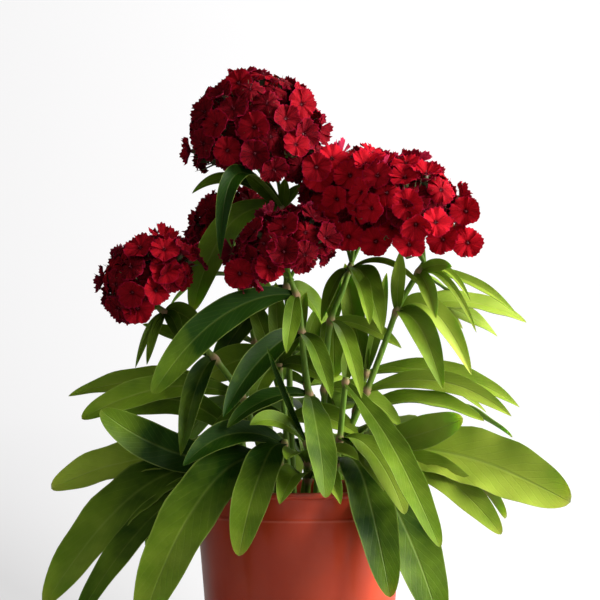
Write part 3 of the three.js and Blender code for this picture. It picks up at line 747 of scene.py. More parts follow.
# %% Leafy shoots
leafy = [
    stem(
        "left",
        [(-28, -9), (-32, -11, 125), (-36, -13, 140)],
        [118, leaf((-154, -45, 43), 34, 32, 0.6, tone=-0.3), leaf((-134, -66, 34), 27, 19, tone=-0.15)],
        [
            132,
            leaf((-153, -12, 111), 9, 27, 0.58, tone=0.5),
            leaf((-120, -50, 161), -12, 24, 0.95, tone=-0.5),
        ],
    ),
    stem(
        "front_left",
        [(-14, -21), (-13, -25, 122), (-9, -28, 142)],
        [126, leaf((-95, -84, 30), 39, 34, tone=-0.15)],
        [139, leaf((-36, -82, 76), 20, 24, tone=-0.5), leaf((-70, -60, 128), 13, 17, 0.8, tone=-0.4)],
    ),
    stem(
        "front",
        [(4, -27), (5, -32, 120), (4, -34, 142)],
        [118, leaf((-12, -76, 106), 10, 16, 0.2), leaf((24, -76, 106), 12, 13, 0.2)],
        [128, leaf((-8, -68, 132), 6, 14, 0.2), leaf((35, -60, 131), 6, 14, 0.2)],
        [140, leaf((-30, -56, 152), 8, 12), leaf((-20, -52, 199), -2, 4, 0.8, tone=-0.4)],
    ),
    stem(
        "middle",
        [(-7, -2), (-9, -3, 150), (-13, -4, 188)],
        [152, leaf((-58, 12, 138), 10, 17), leaf((36, -15, 144), 7, 16, 0.6)],
        [
            186,
            leaf((-30, -32, 160), 8, 13, 0.7), leaf((-60, 2, 178), 8, 21, 0.8),
            leaf((-15, -3, 238), -2, 12, 0.8), leaf((-31, 6, 230), -2, 13, 0.8),
            leaf((4, 10, 232), -2, 12, 0.8), leaf((-40, 34, 186), 10, 14, 0),
            leaf((16, -16, 176), 6, 12, 0.6),
        ],
    ),
    stem(
        "front_right",
        [(20, -21), (24, -25, 140), (28, -29, 180)],
        [128, leaf((83, -71, 34), 31, 35, tone=-0.75), leaf((53, -86, 52), 30, 28, 0.4, tone=-0.75)],
        [142, leaf((50, -64, 113), 10, 16, 0.2), leaf((62, -74, 100), 16, 18, 0.3)],
        [177, leaf((82, -92, 82), 10, 18, 0.5, 0.2, tone=-0.52), leaf((30, -20, 202), -2, 8, 0.8)],
    ),
    stem(
        "right",
        [(32, -4), (35, -6, 122), (38, -8, 144)],
        [124, leaf((121, -50, 86), 20, 20, 0.7, 0.2, tone=-0.3), leaf((114, -22, 100), 20, 15)],
        [
            137,
            leaf((163, -46, 105), 10, 38, 0.8, 0.2, 0.45, tone=0.7), leaf((98, -52, 156), -3, 21, 0.8),
            leaf((130, 42, 88), 26, 26, 0),
        ],
    ),
    stem(
        "back_right",
        [(22, 14), (30, 13, 140), (42, 11, 184)],
        [136, leaf((104, 78, 96), 30, 26, -0.3), leaf((62, 108, 66), 38, 26, -0.3)],
        [158, leaf((114, -2, 152), 9, 16), leaf((134, 34, 140), 15, 18, 0)],
        [
            181,
            leaf((137, 12, 160), 12, 14), leaf((116, 6, 157), 11, 8), leaf((28, 16, 250), -2, 14, 0.8),
            leaf((54, 8, 244), -2, 9, 0.8),
        ],
    ),
    stem(
        "back",
        [(4, 26), (5, 32, 124), (6, 36, 150), (4, 39, 176)],
        [124, leaf((19, 140, 62), 41, 30, -0.2), leaf((-22, 130, 52), 43, 30, -0.2)],
        [150, leaf((-14, 100, 150), 14, 26, 0), leaf((54, 72, 158), 8, 20)],
        [
            173,
            leaf((-38, 66, 160), 10, 17, 0.3), leaf((46, 58, 162), 6, 18, 0.3),
            leaf((10, 46, 222), -2, 14, 0.8), leaf((27, 42, 246), -2, 16, 0.9),
        ],
    ),
    stem(
        "back_left",
        [(-27, 10), (-33, 15, 126), (-38, 20, 146)],
        [126, leaf((-136, 42, 66), 32, 26, 0), leaf((-98, 96, 58), 38, 26, -0.4)],
        [140, leaf((-113, 24, 157), 15, 20, 0.8), leaf((-50, 92, 124), 14, 23, -0.3)],
    ),
]
leaf_count = sum(len(joint) - 1 for plant in flowering + leafy for joint in plant["joints"])
print("stems:", len(flowering) + len(leafy), "leaves:", leaf_count)

# %% [markdown]
# A smooth curve through given points is a Catmull-Rom spline. Its centripetal kind is used, which never
# overshoots where two points of a route lie close together.

# %% Curves
ROOT_DEPTH = 24
STRAIGHT_ABOVE_SOIL = 6


def stem_points(plant):
    """The stem's route, from its foot in the soil to its top."""
    x, y = plant["route"][0]
    heights = (SOIL_TOP - ROOT_DEPTH, SOIL_TOP, SOIL_TOP + STRAIGHT_ABOVE_SOIL)
    return np.array([(x, y, height) for height in heights] + plant["route"][1:], float)


def on_curve(points, share):
    """The point at a share of the way along the smooth curve through points."""
    last = len(points) - 1
    where = min(max(share, 0.0), 1.0) * last
    i = min(int(where), last - 1)
    w = where - i
    b, c = points[i], points[i + 1]
    a = points[i - 1] if i > 0 else 2 * b - c
    d = points[i + 2] if i + 2 <= last else 2 * c - b
    ab, bc, cd = (np.linalg.norm(q - p) ** 0.5 for p, q in ((a, b), (b, c), (c, d)))
    start = ((b - a) / ab - (c - a) / (ab + bc) + (c - b) / bc) * bc
    end = ((c - b) / bc - (d - b) / (bc + cd) + (d - c) / cd) * bc
    return b + start * w + (3 * (c - b) - 2 * start - end) * w**2 + (2 * (b - c) + start + end) * w**3


def share_at_height(points, height):
    """How far along a rising curve a height is, found by halving."""
    low, high = 0.0, 1.0
    for halving in range(24):
        middle = (low + high) / 2
        if on_curve(points, middle)[2] < height:
            low = middle
        else:
            high = middle
    return (low + high) / 2


def unit(vectors):
    return vectors / np.linalg.norm(vectors, axis=-1, keepdims=True)


# %% [markdown]
# ## Tubes
#
# Stems, stalks and calyxes are all tubes. A straight tube is modelled once for each number of sides and
# lengths: a cylinder whose lengthwise edges are subdivided into rings. A copy is then bent by moving each
# of its rings to a point of the curve. A Curve modifier would bend it too, but it twists where a curve
# turns sharply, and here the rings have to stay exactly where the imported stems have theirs.

# %% Moving vertices
def places_of(obj):
    """Where an object's vertices are, one row for each."""
    places = np.empty(len(obj.data.vertices) * 3, np.float32)
    obj.data.vertices.foreach_get("co", places)
    return places.reshape(-1, 3).astype(float)


def move_to(obj, places):
    obj.data.vertices.foreach_set("co", np.asarray(places, np.float32).ravel())
    obj.data.update()


# %% Tube blanks
blanks = {}


def tube_blank(sides, lengths):
    """A straight closed tube, 1 in radius and 1 long, cut into equal lengths."""
    if (sides, lengths) not in blanks:
        deselect_all()
        bpy.ops.mesh.primitive_cylinder_add(vertices=sides, radius=1, depth=1)
        blank = added("tube_blank")
        bpy.ops.object.mode_set(mode="EDIT")
        pick(blank, "EDGE", lambda edge: abs(edge.verts[0].co.z - edge.verts[1].co.z) > 0.5)
        if lengths > 1:
            bpy.ops.mesh.subdivide(number_cuts=lengths - 1)
        bpy.ops.object.mode_set(mode="OBJECT")
        bpy.ops.object.shade_smooth()
        blanks[sides, lengths] = blank
    return blanks[sides, lengths]


def bend_tube(name, centres, radii, sides):
    """A closed tube through the centres, which are in millimetres, with its own radius at each. It also
    gives how far along the tube each vertex lies, from 0 to 1."""
    centres = np.asarray(centres, float)
    along = unit(np.gradient(centres, axis=0))
    across = np.empty_like(along)
    across[0] = unit(np.cross(along[0], (0.0, 1.0, 0.0) if abs(along[0][1]) < 0.9 else (1.0, 0.0, 0.0)))
    for i in range(1, len(centres)):
        across[i] = unit(across[i - 1] - np.dot(across[i - 1], along[i]) * along[i])
    other = np.cross(along, across)
    tube = copy_of(tube_blank(sides, len(centres) - 1), name)
    flat = places_of(tube)
    ring = np.rint((flat[:, 2] + 0.5) * (len(centres) - 1)).astype(int)
    radius = np.asarray(radii, float)[ring]
    places = centres[ring] + across[ring] * (flat[:, :1] * radius[:, None])
    places += other[ring] * (flat[:, 1:2] * radius[:, None])
    move_to(tube, places * MM)
    return tube, ring / (len(centres) - 1)


# %% [markdown]
# ## Leaves
#
# A leaf of this plant is a long blade, broadest past its middle, with a pale midrib that is a groove above
# and a keel below, and edges that stand up a little and ripple. One flat blade is modelled from a grid,
# given a second face with Solidify, and copied for every leaf. Each copy's vertices are then moved by a
# rule: how far across and how far along they are in the grid decides where they lie on the leaf's own
# curve. The grid's UV map comes along, so veins drawn on it later follow the blade.

# %% Leaf blank
def flat_blank(name, across, along, face, back, rim_material):
    """A flat square blade with a face and a back. It also gives for each vertex how far across it lies
    (-1 to 1), how far along (0 to 1), and whether it is on the back."""
    deselect_all()
    bpy.ops.mesh.primitive_grid_add(x_subdivisions=across, y_subdivisions=along, size=2)
    blank = added(name)
    blank.data.materials.append(face)
    blank.data.materials.append(back)
    materials = {"material_offset": 1, "material_offset_rim": rim_material}
    apply_modifier(blank, "SOLIDIFY", thickness=0.2, offset=-1, **materials)
    print(f"{name}: {len(blank.data.polygons)} faces")
    flat = places_of(blank)
    return blank, flat[:, 0], (flat[:, 1] + 1) / 2, flat[:, 2] < -0.1


LEAF_ACROSS = 10
LEAF_ALONG = 26
leaf_top = bpy.data.materials.new("leaf_face")
leaf_below = bpy.data.materials.new("leaf_back")
blade, blade_across, blade_along, blade_under = flat_blank(
    "leaf_blank", LEAF_ACROSS, LEAF_ALONG, leaf_top, leaf_below, rim_material=1
)

# %% Leaf outline
LANCE_LEAF = 17


def leaf_outline(t, width):
    """Half width along a leaf as a share of the greatest, from its clasping foot to its tip. A lance-shaped
    leaf is broadest before its middle and has a long point; a broad one is broadest further out."""
    if width <= LANCE_LEAF:
        return (0.21 + 3.06 * t) * np.maximum(1 - t, 0) ** 0.8
    return (0.2 + 2.3 * t) * np.maximum(1 - t, 0) ** 0.53 * 1.02


def leaf_frame(root, end, shape, t, twist):
    """For each vertex the midrib's point, and the ways across the blade and out of its face."""
    control = root + (end - root) * shape["bend"] + np.array((0, 0, 2.0 * shape["arch"]))
    t, rest = t[:, None], 1 - t[:, None]
    centre = rest**2 * root + 2 * (t * rest) * control + t**2 * end
    along = unit(2 * rest * (control - root) + 2 * t * (end - control))
    facing = np.array((shape["aside"], -shape["front"], 1 - abs(shape["front"])))
    side = unit(np.cross(end - root, facing))
    across = unit(side - (along @ side)[:, None] * along)
    out = np.cross(across, along)
    cos, sin = np.cos(twist)[:, None], np.sin(twist)[:, None]
    return centre, across * cos + out * sin, out * cos - across * sin


# %% [markdown]
# Some leaves are a darker green than others, and each leaf keeps a tone for every vertex: 0 is dark and 1
# is light and yellowish. Besides a little chance, the tone is painted light and shade: it grows towards the
# right, where most light comes from, and from the leaf's foot, painted in shade, to its tip, and each
# leaf's own shift paints it lighter or darker for the light or shade that falls on it.

# %% Leaf tone
TONE_AT_MIDDLE = 0.24
PAINTED_LIGHT_TO_RIGHT = 0.68
TONE_BELOW = 0.19
TONE_SPREAD = 0.3
PLANT_REACH = 110
LOW_LEAF = 100
PAINTED_FOOT_SHADE = 0.25
SHADED_SLOPE = 1.4
BROAD_LEAF = 20


def leaf_tone_and_painted_light(root, end, shape, t, key):
    """A leaf's tone, a little random and mostly painted light and shade: lighter to the right, where the
    light comes from, lighter for a leaf that ends low, and painted darker at its foot. A broad one on the
    shaded side is painted from dark to light along its length.
    """
    place = min(max((root[0] + end[0]) / (2 * PLANT_REACH), -0.3), 0.6)
    tone = TONE_AT_MIDDLE + PAINTED_LIGHT_TO_RIGHT * place + TONE_BELOW * (end[2] < LOW_LEAF)
    # Each leaf's own shift is a painted light or shade for where it lies in the plant.
    tone += shape["tone"] + TONE_SPREAD * (draw(key + 0.5) - 0.5)
    slope = SHADED_SLOPE if end[0] < 0 and shape["width"] > BROAD_LEAF else PAINTED_FOOT_SHADE
    return np.clip(tone + slope * (t - 0.45), -0.4, 1.2)


# %% Leaf rule
LEAF_FOLD = 0.22
LANCE_FOLD = 0.4
GROOVE = 0.35
KEEL = 1.2
BLADE_THICKNESS = 0.45
RIPPLE = 0.045
RIPPLE_LENGTH = 27
TWIST = 0.32
MOST_TWISTED = 14
SWAY = 0.10


def make_leaf(root, shape, key):
    """One leaf from its root on the stem, in millimetres."""
    end = np.array(shape["tip"], float)
    width = shape["width"]
    u, t = blade_across, 1 - (1 - blade_along) ** 1.5
    rest = 1 - t
    twist = TWIST * (2 * draw(key + 0.1) - 1) * np.sin(math.pi * t) * np.minimum(1, MOST_TWISTED / width)
    centre, across, out = leaf_frame(root, end, shape, t, twist)
    sway = SWAY * width * np.sin(math.pi * 2 * t + 6 * draw(key + 0.2)) * t * rest
    half = 0.5 * width * leaf_outline(t, width)
    waves = np.linalg.norm(end - root) / RIPPLE_LENGTH * t + draw(key)
    wave = np.sin(2 * math.pi * waves + (1.3 + draw(key + 0.3)) * np.sign(u))
    ripple = RIPPLE * width * wave * np.abs(u) ** 2.4 * np.sin(math.pi * t) ** 0.7
    fold = (LANCE_FOLD if width <= LANCE_LEAF else LEAF_FOLD) * (0.6 + 0.8 * draw(key + 0.4))
    rise = fold * half * np.abs(u) ** 1.5 + ripple
    rise -= GROOVE * np.exp(-((u / 0.14) ** 2)) * rest
    thick = BLADE_THICKNESS + (KEEL - BLADE_THICKNESS) * np.exp(-((u / 0.2) ** 2)) * rest
    rise -= np.where(blade_under, thick * np.minimum(1, 5 * rest), 0)
    made = copy_of(blade, "leaf")
    places = centre + across * sway[:, None] + across * (u * half)[:, None] + out * rise[:, None]
    move_to(made, places * MM)
    store(made, "tone", leaf_tone_and_painted_light(root, end, shape, t, key))
    return made


def make_leaves(plant, key):
    """All leaves of one stem, and the last of their keys."""
    points = stem_points(plant)
    leaves = []
    for height, *pair in plant["joints"]:
        root = on_curve(points, share_at_height(points, height))
        for shape in pair:
            key += 1
            leaves.append(make_leaf(root, shape, key))
    return leaves, key


# %% [markdown]
# ## Stems
#
# A stem is smooth and round, and swells where a leaf pair grows: there it is also pinkish, which the joint
# attribute tells the material. Rings lie close together at the swellings and further apart between.

# %% Stem rule
STEM_RADIUS = 2.3
STEM_TOP_SHARE = 0.72
STEM_RINGS = 42
JOINT_SWELL = 1.5
JOINT_LENGTH = 2.4
JOINT_RINGS = (-5, -3.4, -2.2, -1.1, 0, 1.1, 2.2, 3.4, 5)


def make_stem(plant):
    points = stem_points(plant)
    heights = [height for height, *_ in plant["joints"]]
    shares = list(np.linspace(0, 1, STEM_RINGS))
    shares += [share_at_height(points, height + offset) for height in heights for offset in JOINT_RINGS]
    shares = np.array(sorted(set(np.round(shares, 4))))
    centres = np.array([on_curve(points, share) for share in shares])
    swell = np.ones(len(shares))
    for height in heights:
        swell += (JOINT_SWELL - 1) * np.exp(-(((centres[:, 2] - height) / JOINT_LENGTH) ** 2))
    radii = STEM_RADIUS * (1 - (1 - STEM_TOP_SHARE) * shares) * swell
    made, share = bend_tube("stem", centres, radii, 12)
    store(made, "joint", np.interp(share, np.linspace(0, 1, len(swell)), (swell - 1) / (JOINT_SWELL - 1)))
    return made


# %% [markdown]
# A leaf's finish is read from the blade's UV map, where 0 to 1 across is edge to edge and 0 to 1 along is
# foot to tip. The midrib is a band that narrows towards the tip, and the side veins are a ping-pong wave
# that is swept forwards. Both are also a bump. An image could show veins too, but it would have to be
# drawn or found.

# %% Leaf finish
VEINS = 17.0
VEIN_SWEEP = 3.4
VEIN_STRENGTH = 0.22
MIDDLE_TINT = (0.81, 1, 0.55, 1)


def grey(value):
    return (value, value, value, 1)


def green_finish(material, dark, bright, pale):
    """A leaf's face or back, with a midrib, side veins and a soft unevenness. Its colour goes from dark to
    bright with the stored tone, and is darkened by a painted shade towards the leaf's foot; the midrib,
    veins and edge are pale."""
    tree, shader, sources = opened(material)
    spot = add_node(tree, "SeparateXYZ", {0: sources["UV"]}).outputs
    aside = calculate(tree, "ABSOLUTE", minus(tree, times(tree, spot[0], 2.0), 1.0))
    rib_width = minus(tree, 0.13, times(tree, spot[1], 0.09))
    rib = minus(tree, 1.0, calculate(tree, "DIVIDE", aside, rib_width), clamp=True)
    sweep = minus(tree, times(tree, spot[1], VEINS), times(tree, aside, VEIN_SWEEP))
    wander = mottled(tree, sources["Object"], 45.0, -0.25, 0.25)
    comb = calculate(tree, "PINGPONG", plus(tree, sweep, wander), 0.5)
    vein = times(tree, minus(tree, 1.0, times(tree, comb, 9.0), clamp=True), VEIN_STRENGTH)
    lines = calculate(tree, "MAXIMUM", rib, vein)
    clouds = mottled(tree, sources["Object"], 38.0)
    mixed = plus(tree, times(tree, clouds, 0.3), times(tree, stored(tree), 0.7))
    # Painted shade: darker towards the leaf's foot.
    shadow = ramp(tree, spot[1], [(0.0, grey(0.55)), (0.35, grey(0.9)), (0.7, grey(1.0))])
    mixed = times(tree, mixed, shadow)
    middle = [(0.6 * low + 0.4 * high) * tint for low, high, tint in zip(dark, bright, MIDDLE_TINT)]
    colour = ramp(tree, mixed, [(0.0, dark), (0.4, middle), (1.0, bright)])
    shown = plus(tree, times(tree, mixed, 0.5, clamp=True), 0.12)
    colour = blend_colours(tree, times(tree, lines, shown), colour, pale)
    edge = times(tree, minus(tree, aside, 0.93, clamp=True), 6.0)
    colour = blend_colours(tree, edge, colour, pale)
    height = minus(tree, times(tree, grained(tree, sources["Object"], 700.0), 0.35), lines)
    finish_with(tree, shader, colour, 0.5, height, 0.00022)
    set_values(shader, Specular_IOR_Level=0.08, Subsurface_Weight=0.25)
    set_values(shader, Subsurface_Radius=(0.5, 1.0, 0.15), Subsurface_Scale=0.0012)


green_finish(leaf_top, (0.010, 0.036, 0.001, 1), (0.380, 0.485, 0.055, 1), (0.32, 0.42, 0.08, 1))
green_finish(leaf_below, (0.11, 0.18, 0.022, 1), (0.20, 0.29, 0.05, 1), (0.32, 0.38, 0.11, 1))

# %% [markdown]
# A stem's skin is streaked lengthwise, so its pattern is read from Object coordinates pulled long along Z.
# At a joint the stored number blends the green into a pinkish brown.

# %% Stem finish
stem_skin, tree, shader, sources = new_material("stem_skin")
streaks = stretched(tree, sources["Object"], (1, 1, 0.12))
streaky = mottled(tree, streaks, 700.0)
green = ramp(tree, streaky, [(0, (0.08, 0.18, 0.015, 1)), (1, (0.17, 0.28, 0.035, 1))])
pink = times(tree, stored(tree, "joint"), 0.85, clamp=True)
colour = blend_colours(tree, pink, green, (0.42, 0.24, 0.15, 1))
finish_with(tree, shader, colour, 0.45, grained(tree, streaks, 900.0), 0.00015)
set_values(shader, Specular_IOR_Level=0.15)

# %% [markdown]
# ## Florets
#
# A floret has five petals that overlap like a fan and make a nearly round disc, with a toothed rim and a
# small dark throat. Its velvet is a Principled BSDF with almost no gloss and a little red sheen. Streaks
# are noise pulled long from throat to rim. The tone that each floret keeps gives neighbours their own
# crimson at random, and also carries painted light and shade: each head is painted lighter or darker for
# how it lies to the light, florets facing the viewer are painted bright and the inner layer dark. A stack
# of images would do the same, but only for petals that were unwrapped with care.

# %% Petal finishes
STREAK_SHARE = 0.32
petal_top = bpy.data.materials.new("petal_velvet")
petal_below = bpy.data.materials.new("petal_back")


def petal_finish(material, dark, bright, rim, throat):
    """Velvet that goes from dark to bright with the floret's tone, partly random and partly painted light
    and shade, with its own rim and throat.
    """
    tree, shader, sources = opened(material)
    spot = add_node(tree, "SeparateXYZ", {0: sources["UV"]}).outputs
    fan = add_node(tree, "CombineXYZ", {0: spot[0], 1: times(tree, spot[1], 0.12), 2: stored(tree)})
    streak = mottled(tree, fan.outputs[0], 16.0)
    pile = mottled(tree, sources["Object"], 1500.0)
    share = plus(tree, times(tree, streak, STREAK_SHARE), times(tree, stored(tree), 1 - STREAK_SHARE))
    share = plus(tree, share, times(tree, minus(tree, pile, 0.5), 0.22), clamp=True)
    colour = blend_colours(tree, share, dark, bright)
    eye = ramp(tree, spot[1], [(0, grey(1)), (0.06, grey(0.8)), (0.16, grey(0.22)), (0.30, grey(0))])
    colour = blend_colours(tree, eye, colour, throat)
    brim = ramp(tree, spot[1], [(0, grey(0)), (0.90, grey(0)), (1, grey(0.55))])
    colour = blend_colours(tree, brim, colour, rim)
    height = plus(tree, times(tree, streak, 0.45), times(tree, pile, 0.35))
    finish_with(tree, shader, colour, 0.6, height, 0.0002)
    set_values(shader, Specular_IOR_Level=0.012)
    set_values(shader, Sheen_Weight=0.025, Sheen_Roughness=0.35, Sheen_Tint=(1.0, 0.10, 0.22, 1))
    set_values(shader, Subsurface_Weight=0.15, Subsurface_Radius=(1.0, 0.12, 0.12), Subsurface_Scale=0.001)


petal_finish(
    petal_top,
    dark=(0.040, 0.0025, 0.0052, 1),
    bright=(0.52, 0.007, 0.017, 1),
    rim=(0.36, 0.006, 0.045, 1),
    throat=(0.04, 0.001, 0.003, 1),
)
petal_finish(
    petal_below,
    dark=(0.11, 0.006, 0.012, 1),
    bright=(0.34, 0.016, 0.050, 1),
    rim=(0.38, 0.026, 0.085, 1),
    throat=(0.20, 0.13, 0.07, 1),
)

# %% Calyx and style finishes
def ribbed_finish(name, low, high):
    """A ribbed skin between two colours, for parts too small to show more."""
    material, tree, shader, sources = new_material(name)
    ribs = mottled(tree, sources["Object"], 600.0)
    share = times(tree, plus(tree, ribs, stored(tree)), 0.5)
    finish_with(tree, shader, blend_colours(tree, share, low, high), 0.55, ribs, 0.0002)
    return material


calyx_skin = ribbed_finish("calyx_skin", (0.045, 0.055, 0.018, 1), (0.13, 0.15, 0.045, 1))
style_skin = ribbed_finish("style_skin", (0.13, 0.008, 0.014, 1), (0.28, 0.03, 0.05, 1))

# %% [markdown]
# One petal is made from a grid: across becomes angle, and along becomes distance from the throat. Every
# second vertex of the rim is drawn in, which gives the teeth. Solidify gives it a paler back. Five turned
# copies are a floret, and six florets of different openness, from drooping to cupped, are enough for every
# head, because each copy is turned and tilted.

# %% Petal blank
PETAL_ACROSS = 10
PETAL_ALONG = 2
petal_blank, petal_across, petal_along, petal_under = flat_blank(
    "petal_blank", PETAL_ACROSS, PETAL_ALONG, petal_top, petal_below, rim_material=0
)

# %% Petal rule
PETAL_RADIUS = 10.8
THROAT_RADIUS = 0.8
THROAT_DEPTH = 1.8
PETAL_FOOT = 38
PETAL_RIM = 40
PETAL_THICKNESS = 0.25
TOOTH = 0.6
PETAL_WAVE = 0.9


def make_petal(turn, cup, key):
    """One petal of a floret that faces +Z from its throat at the origin, turned round it. A cup above zero
    raises its rim, and one below lets it hang."""
    u, v = petal_across, petal_along
    column = np.rint((u + 1) / 2 * PETAL_ACROSS).astype(int)
    rim = v > 0.99
    tooth = np.array([TOOTH * (i % 2 + 0.5 * draw(key + i)) for i in range(PETAL_ACROSS + 1)])[column]
    reach = PETAL_RADIUS * (1 - 0.11 * np.abs(u) ** 2.5) * (0.93 + 0.1 * draw(key))
    reach = np.sqrt(reach**2 - cup**2) - tooth * rim
    distance = THROAT_RADIUS + (reach - THROAT_RADIUS) * v
    angle = turn + u * np.radians(PETAL_FOOT + (PETAL_RIM - PETAL_FOOT) * v)
    wave = np.sin(u * math.pi * 1.5 + 6.28 * draw(key + 1))
    z = -THROAT_DEPTH * (1 - v) ** 3 + cup * v**1.5 + PETAL_WAVE * wave * v**2
    z += 0.6 * u * v + 0.5 * np.where(column % 2 == 0, 1, -1) * rim
    z -= np.where(petal_under, PETAL_THICKNESS, 0)
    made = copy_of(petal_blank, "petal")
    move_to(made, np.stack([-distance * np.sin(angle), distance * np.cos(angle), z], 1) * MM)
    return made


# %% Floret blanks
CUPS = (-4.6, -3.2, -0.8, 0.6, 1.8, 3.4)
ALL_KINDS = tuple(range(len(CUPS)))
FLAT_KINDS = (2, 3)
PETALS = 5
florets = []
for kind, cup in enumerate(CUPS):
    petals = []
    for i in range(PETALS):
        own_cup = cup + (1 + abs(cup)) * (draw(7 * kind + i) - 0.5)
        petals.append(make_petal(i * 2 * math.pi / PETALS, own_cup, 30 * kind + i))
    florets.append(join("floret_blank", petals))
    smooth(florets[-1], 60)
print("florets:", len(florets), "with", len(florets[0].data.polygons), "faces each")

# %% [markdown]
# Under the petals is the calyx, a ribbed green tube with five teeth, and at its foot stand thin pointed
# bracts, the beard that the plant is named for. In the throat are two short curled styles, dark red. All
# of them are bent tubes, since a tube with three sides is enough for something as thin as a bract.

# %% Calyx and bracts
CALYX_FOOT = 16.2
CALYX_PROFILE = ((-16.5, 0.9), (-13.5, 2.0), (-6, 1.9), (-2.4, 1.5))
BRACTS = 4
STYLE_CURL = ((0.25, -1.6), (0.5, 0.1), (1.3, 0.6))
CALYX_KINDS = 3


def make_bract(turn, reach, top):
    """A thin bract that curves out and up beside the calyx, from its foot."""
    foot = np.array((0.8 * math.cos(turn), 0.8 * math.sin(turn), -CALYX_FOOT))
    middle = np.array((reach * 0.8 * math.cos(turn), reach * 0.8 * math.sin(turn), -12))
    tip = np.array((reach * math.cos(turn + 0.2), reach * math.sin(turn + 0.2), top))
    route = [(1 - w) ** 2 * foot + 2 * w * (1 - w) * middle + w**2 * tip for w in (0, 0.35, 0.7, 1)]
    return bend_tube("bract", route, (0.5, 0.7, 0.45, 0.1), 3)[0]


def make_calyx(key):
    """A calyx tube with its bracts and styles, below and in a throat at the origin."""
    depths, radii = zip(*CALYX_PROFILE)
    tube, _ = bend_tube("calyx", [(0, 0, z) for z in depths], radii, 8)
    tube.data.materials.append(calyx_skin)
    tube.data.materials.append(style_skin)
    for face in tube.data.polygons:
        face.material_index = int(face.center.z > -2.8 * MM)
    parts = [tube]
    for i in range(BRACTS):
        reach, top = 4.5 + 4.5 * draw(key + i), -4.5 + 5 * draw(key + i + 9)
        parts.append(make_bract(math.pi / 2 * i + key, reach, top))
        parts[-1].data.materials.append(calyx_skin)
    for side in (-1, 1):
        curl = [(side * x, 0.3 * side, z) for x, z in STYLE_CURL]
        parts.append(bend_tube("style", curl, (0.2, 0.18, 0.08), 3)[0])
        parts[-1].data.materials.append(style_skin)
    return join("calyx_blank", parts)


calyxes = [make_calyx(kind * 3 + 1) for kind in range(CALYX_KINDS)]
print("calyxes:", len(calyxes), "with", len(calyxes[0].data.polygons), "faces each")

# %% [markdown]
# ## Flower heads
#
# In a head, dozens of stalks of different length bring their florets to one dome. Placed by hand they
# would never be even; placed at random they would leave holes. The golden spiral, by which sunflower seeds
# lie, gives each floret the same room, and seeded numbers then push it in or out, tilt and turn it.
# Florets that face the viewer squarely are listed one by one, and an inner layer closes what gaps are left;
# it takes the darkest tone, a painted shade in the gaps.

# %% Head rule
GOLDEN_ANGLE = math.pi * (3 - math.sqrt(5))
HEAD_REACH = 116
DEPTH_SPREAD = 0.1
MOST_DEPTH = 0.85
TILT = 0.45


def lean_of(head):
    toward = math.radians(head["toward"])
    hinge = Vector((0, 0, 1)).cross(Vector((math.cos(toward), math.sin(toward), 0)))
    return Quaternion(hinge, math.radians(head["lean"]))


def floret_places(head, count):
    """Each floret's spot, the way that it faces, and its key."""
    radius, height = head["size"]
    turn = lean_of(head)
    lowest = math.cos(math.radians(HEAD_REACH))
    for i in range(count):
        key = head["seed"] + i * 7
        up = 1 - (i + 0.5) / count * (1 - lowest)
        out = math.sqrt(1 - up * up)
        around = i * GOLDEN_ANGLE + head["seed"]
        depth = 1 + DEPTH_SPREAD * (MOST_DEPTH - draw(key))
        spot = Vector((out * math.cos(around), out * math.sin(around), up))
        normal = Vector((spot.x / radius, spot.y / radius, spot.z / height)).normalized()
        normal += TILT * Vector((draw(key + 1) - 0.5, draw(key + 2) - 0.5, draw(key + 3) - 0.5))
        spot = turn @ (Vector((spot.x * radius, spot.y * radius, spot.z * height)) * depth)
        yield spot + Vector(head["centre"]), (turn @ normal).normalized(), key


# %% Three layers of florets
OUTSIDE_SHARE = 0.85
ROOM_BESIDE = 11
INNER_LAYER = 0.8
INNER_FEWER = 3
FACE_ON_KEYS, INNER_KEYS = 300, 500
FACE_ON_TONE = 0.8
TONE_RANGE = 1.3


def is_free(spot, others, set_out):
    """Whether a spot is outside the other heads and has room beside the florets listed one by one."""
    for other in others:
        if (spot - Vector(other["centre"])).length <= OUTSIDE_SHARE * min(other["size"]):
            return False
    return all((spot - Vector(place)).length > ROOM_BESIDE for place in set_out)


def all_florets(head, others):
    """Spot, facing, key, tone and kinds of a head's florets: those listed one by one, the spiral, and the
    inner layer. Their keys lie so far apart that no two layers share a draw."""
    for i, spot in enumerate(head["face_on"]):
        key = head["seed"] + FACE_ON_KEYS + i * 7
        facing = Vector((0.15 + 0.9 * (draw(key) - 0.5), -1, 0.25 + 0.7 * (draw(key + 1) - 0.5)))
        # Painted light: florets that face the viewer start from the brightest tone, with part of the head's
        # painted light or shade.
        yield Vector(spot), facing.normalized(), key, 1.0 + FACE_ON_TONE * head["tone"], FLAT_KINDS
    for spot, facing, key in floret_places(head, head["florets"]):
        if is_free(spot, others, head["face_on"]):
            # A random tone, plus the head's painted light or shade.
            tone = 0.5 + TONE_RANGE * (draw(key + 7) - 0.5) + head["tone"]
            yield spot, facing, key, tone, ALL_KINDS
    centre = Vector(head["centre"])
    for spot, facing, key in floret_places(head, head["florets"] - INNER_FEWER):
        spot = centre + INNER_LAYER * (spot - centre)
        if is_free(spot, others, []):
            # Painted shade: the inner layer takes the darkest tone, so the gaps between florets read as
            # shade.
            yield spot, facing, key + INNER_KEYS, 0.0, ALL_KINDS


# %% [markdown]
# A stalk runs from the top of the stem to each calyx, by way of one of four forks, so that from below the
# head shows its branches. The stalks are joined to their stem, which makes one piece for the solid stem.
# The leaves are a second one, and the petals and the calyxes are two for the solid head.

# %% Stalks
HEAD_SHELL = 12
STALKS = 4
STALK_RADII = (1.3, 1.25, 1.15, 1.15, 1.3)
PEDICEL_RADII = (0.9, 0.7, 0.65, 0.7, 0.9)


